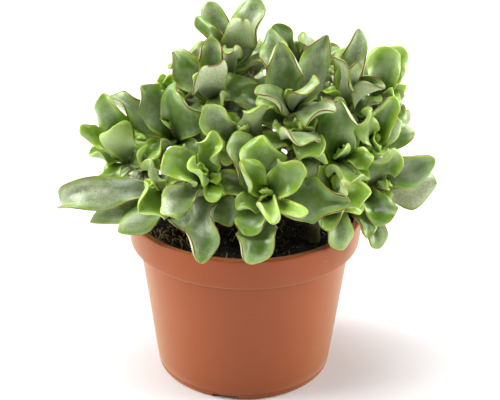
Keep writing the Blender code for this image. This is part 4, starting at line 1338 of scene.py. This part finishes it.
class StudioSettings(bpy.types.PropertyGroup):
    distance: FloatProperty(
        name="Camera distance", description="From the pot's axis", unit="LENGTH", default=0.6101
    )
    height: FloatProperty(name="Camera height", description="Above the floor", unit="LENGTH", default=0.3794)
    pitch: FloatProperty(name="Pitch", description="How far it looks down", subtype="ANGLE", default=0.4406)
    yaw: FloatProperty(name="Yaw", description="How far it looks right", subtype="ANGLE", default=0.004)
    roll: FloatProperty(name="Roll", description="How far it is tipped", subtype="ANGLE", default=0.0123)
    lens: FloatProperty(name="Lens", description="Focal length in millimetres", default=94.7)
    ambient: FloatProperty(name="Ambient", description="Light from all round", default=0.03)
    left: FloatProperty(name="Left", description="Strength of the light on the left", default=3.9)
    right: FloatProperty(name="Right", description="Strength of the light on the right", default=3.9)
    top: FloatProperty(name="Top", description="Strength of the light above", default=3.0)


# Operators


def pot_profile():
    """The pot's cut half, from the middle of its foot out, up, over the lip and down inside."""
    top = POT_HEIGHT
    step = COLLAR_BOTTOM_Z
    inner = RIM_RADIUS - LIP_WIDTH
    under_lip = top - LIP_DEPTH
    collar = COLLAR_BOTTOM_RADIUS - COLLAR_ROUNDING
    outline = [(0.0, 0.0), (18.0, 0.0), (34.0, 0.0)]
    outline += arc((FOOT_RADIUS - FOOT_ROUNDING, FOOT_ROUNDING), FOOT_ROUNDING, -90, 0, 6)
    for offset, sunk in ((-0.35, 0), (-0.1, GROOVE_DEPTH), (0.1, GROOVE_DEPTH), (0.35, 0)):
        outline.append((body_radius(GROOVE_Z + offset) - sunk, GROOVE_Z + offset))
    outline += [(body_radius(z), z) for z in BODY_RINGS_Z]
    outline += arc((BODY_TOP_RADIUS + STEP_ROUNDING, step - STEP_ROUNDING), STEP_ROUNDING, 180, 90, 3)
    outline += arc((collar, step + COLLAR_ROUNDING), COLLAR_ROUNDING, -90, 0, 5)
    for ring in range(1, COLLAR_RINGS + 1):
        share = ring / COLLAR_RINGS
        radius = COLLAR_BOTTOM_RADIUS + (RIM_RADIUS - COLLAR_BOTTOM_RADIUS) * share
        outline.append((radius + COLLAR_BELLY * math.sin(math.pi * share), step + COLLAR_RING_GAP * ring))
    outline += arc((RIM_RADIUS - LIP_ROUNDING, top - LIP_ROUNDING), LIP_ROUNDING, 0, 90, 6)
    outline += arc((inner + INNER_LIP_ROUNDING, top - INNER_LIP_DROP), INNER_LIP_ROUNDING, 80, 180, 4)
    outline += [(inner, under_lip), (inner + LIP_BEVEL, under_lip - LIP_BEVEL_DROP)]
    outline.append((RIM_RADIUS - WALL, under_lip - LIP_FOOT_DROP))
    outline += [(COLLAR_BOTTOM_RADIUS - WALL, step + WALL), (BODY_TOP_RADIUS - WALL, step + WALL)]
    outline += [(body_radius(z) - WALL, z) for z in INNER_RINGS_Z]
    outline += [(body_radius(FLOOR) - WALL, FLOOR), (20.0, FLOOR), (0.0, FLOOR)]
    return outline


class JADE_OT_pot(bpy.types.Operator):
    """Turn the pot and cut the drain channels and holes in its foot"""

    bl_idname = "jade.pot"
    bl_label = "Pot"

    def execute(self, context):
        settings = context.scene.jade_pot
        profile = pot_profile()
        mesh = bpy.data.meshes.new("pot profile")
        mesh.from_pydata([(r * MM, 0, z * MM) for r, z in profile], [], [])
        line = placed("pot profile", mesh)
        plastic = plastic_material(settings)
        turned_tree().put_on(line, {"Sides": settings.sides, "Points": len(profile), "Material": plastic})
        pot = baked(line, "fine pot")
        face_outwards(pot)
        ridges = channel_boxes("ridges", WALL, RIDGE_Z)
        trim_radii = [body_radius(z) - WALL / 2 for z in (0, RIDGE_TRIM_Z)]
        trim = upright_cones("ridge trim", [(0, 0)], (0, RIDGE_TRIM_Z), trim_radii, settings.sides)
        channels = channel_boxes("channels", 0, CHANNEL_CUT_Z)
        places = [(DRAIN_HOLE_AT * math.cos(a), DRAIN_HOLE_AT * math.sin(a)) for a in channel_turns()]
        holes = upright_cones("holes", places, DRAIN_CUT_Z, [DRAIN_HOLE_RADIUS] * 2, DRAIN_HOLE_SIDES)
        for target, helper, operation in (
            (ridges, trim, "INTERSECT"),
            (pot, ridges, "UNION"),
            (pot, channels, "DIFFERENCE"),
            (pot, holes, "DIFFERENCE"),
        ):
            modifier = target.modifiers.new(helper.name, "BOOLEAN")
            modifier.operation = operation
            modifier.object = helper
            modifier.solver = "EXACT"
        pot = baked(pot, "turned_pot")
        for helper in (ridges, trim, channels, holes):
            bpy.data.objects.remove(helper)
        pot.data.materials.clear()
        pot.data.materials.append(plastic)
        pot.data.shade_smooth()
        pot.data.set_sharp_from_angle(angle=math.radians(SHARP_DEG))
        finish_piece(pot, "pot", "pot")
        return {"FINISHED"}


def compost_plug():
    """A closed plug of soil with rings of points on its top."""
    wall = COLLAR_BOTTOM_RADIUS - WALL - GAP
    body = BODY_TOP_RADIUS - WALL - GAP
    ledge = COLLAR_BOTTOM_Z + WALL
    outline = [(FIRST_PLUG_RADIUS + PLUG_RING_GAP * k, None) for k in range(PLUG_RINGS)]
    outline += [(wall, SOIL_LEVEL - PLUG_EDGE_DROP), (wall, ledge + GAP), (body, ledge + GAP)]
    outline += [(body, ledge - GAP), (body_radius(PLUG_BOTTOM_Z) - WALL - GAP, PLUG_BOTTOM_Z)]
    work = bmesh.new()
    rings = []
    for radius, level in outline:
        rings.append([])
        for i in range(PLUG_SIDES):
            turn = 2 * math.pi * i / PLUG_SIDES
            x = radius * math.cos(turn)
            y = radius * math.sin(turn)
            z = soil_height(x, y) if level is None else level
            rings[-1].append(work.verts.new((x * MM, y * MM, z * MM)))
    for first, second in zip(rings, rings[1:]):
        for i in range(PLUG_SIDES):
            j = (i + 1) % PLUG_SIDES
            work.faces.new((first[i], second[i], second[j], first[j]))
    work.faces.new(rings[0])
    work.faces.new(list(reversed(rings[-1])))
    return object_from("compost plug", work)


class JADE_OT_soil(bpy.types.Operator):
    """Fill the pot with lumpy compost and strew it with crumbs, fibres and white grit"""

    bl_idname = "jade.soil"
    bl_label = "Soil"

    def execute(self, context):
        settings = context.scene.jade_soil
        plug = compost_plug()
        earth = soil_material()
        sizes = {"Lump Size": LUMP_SIZE * MM, "Lump Height": settings.lump_height}
        lumpy_tree().put_on(plug, {**sizes, "Material": earth})
        soil = baked(plug, "compost")
        soil.data.shade_smooth()
        face_outwards(soil)
        crumbs = settings.crumb_density
        peat = plain_material("brown peat", (0.05, 0.03, 0.018), 0.9)
        straw = plain_material("straw", (0.60, 0.42, 0.17), 0.7, 0.6, 300)
        grit = plain_material("white grit", (0.55, 0.53, 0.48), 0.8, 0.15)
        strewn = (
            ("strewn_crumbs", crumb_shape, crumbs, 0.5, 2.4, earth),
            ("strewn_dark_crumbs", crumb_shape, crumbs * 0.12, 1.0, 3.2, peat),
            ("strewn_straw_fibres", fibre_shape, settings.fibre_density, 3.0, 8.5, straw),
            ("strewn_white_grit", crumb_shape, GRIT_DENSITY, 0.6, 1.4, grit),
        )
        for number, (name, shape, density, smallest, largest, finish) in enumerate(strewn):
            bed = placed("bed of " + name, soil.data.copy())
            values = {
                "Density": density,
                "Heaped": 1.0 if shape is fibre_shape else 0.0,
                "Heap": [c * MM for c in HEAP_PLACE],
                "Smallest": smallest * MM,
                "Largest": largest * MM,
                "Seed": settings.seed + number,
                "Material": finish,
            }
            strewn_tree(name, shape).put_on(bed, values)
            finish_piece(baked(bed, name), "soil")
        finish_piece(soil, "soil", "soil")
        return {"FINISHED"}


class JADE_OT_plants(bpy.types.Operator):
    """Grow the rooted stems and their leaves"""

    bl_idname = "jade.plants"
    bl_label = "Stems and leaves"

    def execute(self, context):
        skin = leaf_material(context.scene.jade_leaf)
        bark = bark_material()
        stems = bark_tree()
        for number, (name, (foot, branches, leaves)) in enumerate(grow().items()):
            rng = Random(GROWTH_SEED + number)
            shoots = [shoot for shoot, stem, *_ in SHOOTS if stem == name]
            sheaf = LeafSheaf()
            for leaf in leaves:
                sheaf.add(leaf, leaf_age(leaf, shoots, branches), rng)
            for branch in branches:
                for leaf in bud_leaves(branch, rng):
                    sheaf.add(leaf, 0.0, rng)
            foliage = sheaf.to_object("leaves of " + name, skin)
            face_outwards(foliage, merge=False)
            lines = centre_lines("lines of " + name, foot, branches)
            stems.put_on(lines, {"Sides": BARK_SIDES, "Ring Spacing": RING_SPACING * MM, "Material": bark})
            wood = baked(lines, "wood of " + name)
            both = [foliage, wood]
            with context.temp_override(active_object=foliage, object=foliage, selected_editable_objects=both):
                bpy.ops.object.join()
            foliage.name = "leafy_" + name
            finish_piece(foliage, "leaf", name)
        return {"FINISHED"}


class JADE_OT_studio(bpy.types.Operator):
    """Lay the pale floor and set the soft lights and the camera"""

    bl_idname = "jade.studio"
    bl_label = "Studio"

    def execute(self, context):
        scene = context.scene
        studio = scene.jade_studio
        work = bmesh.new()
        bmesh.ops.create_grid(work, x_segments=1, y_segments=1, size=FLOOR_HALF_WIDTH)
        floor = object_from("floor", work)
        pale = {"Base Color": (0.82, 0.82, 0.82, 1), "Roughness": 0.9}
        floor.data.materials.append(Finish("pale floor").end(pale))
        world = bpy.data.worlds.new("studio")
        world.use_nodes = True
        background = world.node_tree.nodes["Background"]
        background.inputs["Color"].default_value = (1, 1, 1, 1)
        background.inputs["Strength"].default_value = studio.ambient
        scene.world = world
        for side, direction in LIGHTS.items():
            lamp = bpy.data.lights.new(side + " light", "SUN")
            lamp.angle = math.radians(LIGHT_SPREAD_DEG)
            lamp.energy = getattr(studio, side)
            aim = (-Vector(direction)).to_track_quat("-Z", "Y").to_matrix().to_4x4()
            placed(lamp.name, lamp).matrix_world = Matrix.Translation(direction) @ aim
        data = bpy.data.cameras.new("camera")
        data.lens = studio.lens
        data.sensor_width = SENSOR_WIDTH
        turn = Matrix.Rotation(-studio.yaw, 3, "Z") @ Matrix.Rotation(math.pi / 2 - studio.pitch, 3, "X")
        turn = turn @ Matrix.Rotation(studio.roll, 3, "Z")
        scene.camera = placed("camera", data)
        scene.camera.matrix_world = Matrix.Translation((0, -studio.distance, studio.height)) @ turn.to_4x4()
        scene.view_settings.view_transform = "Standard"
        return {"FINISHED"}


PARTS = (
    ("jade_pot", PotSettings, JADE_OT_pot),
    ("jade_soil", SoilSettings, JADE_OT_soil),
    ("jade_leaf", LeafSettings, JADE_OT_plants),
    ("jade_studio", StudioSettings, JADE_OT_studio),
)


class JADE_PT_panel(bpy.types.Panel):
    """Lists the pieces of the potted jade and their settings"""

    bl_idname = "JADE_PT_panel"
    bl_label = "Potted silver jade"
    bl_space_type = "VIEW_3D"
    bl_region_type = "UI"
    bl_category = "Jade"

    def draw(self, context):
        for name, group, operator in PARTS:
            box = self.layout.box()
            box.operator(operator.bl_idname)
            for setting in group.__annotations__:
                box.prop(getattr(context.scene, name), setting)


def register():
    """Registers the settings, the operators and the panel."""
    for name, group, operator in PARTS:
        bpy.utils.register_class(group)
        setattr(bpy.types.Scene, name, PointerProperty(type=group))
        bpy.utils.register_class(operator)
    bpy.utils.register_class(JADE_PT_panel)


def unregister():
    """Takes back what register did."""
    bpy.utils.unregister_class(JADE_PT_panel)
    for name, group, operator in reversed(PARTS):
        bpy.utils.unregister_class(operator)
        delattr(bpy.types.Scene, name)
        bpy.utils.unregister_class(group)


def main():
    """Builds the pot, the soil, the plants and the studio."""
    register()
    bpy.ops.jade.pot()
    bpy.ops.jade.soil()
    bpy.ops.jade.plants()
    bpy.ops.jade.studio()


if __name__ == "__main__":
    main()
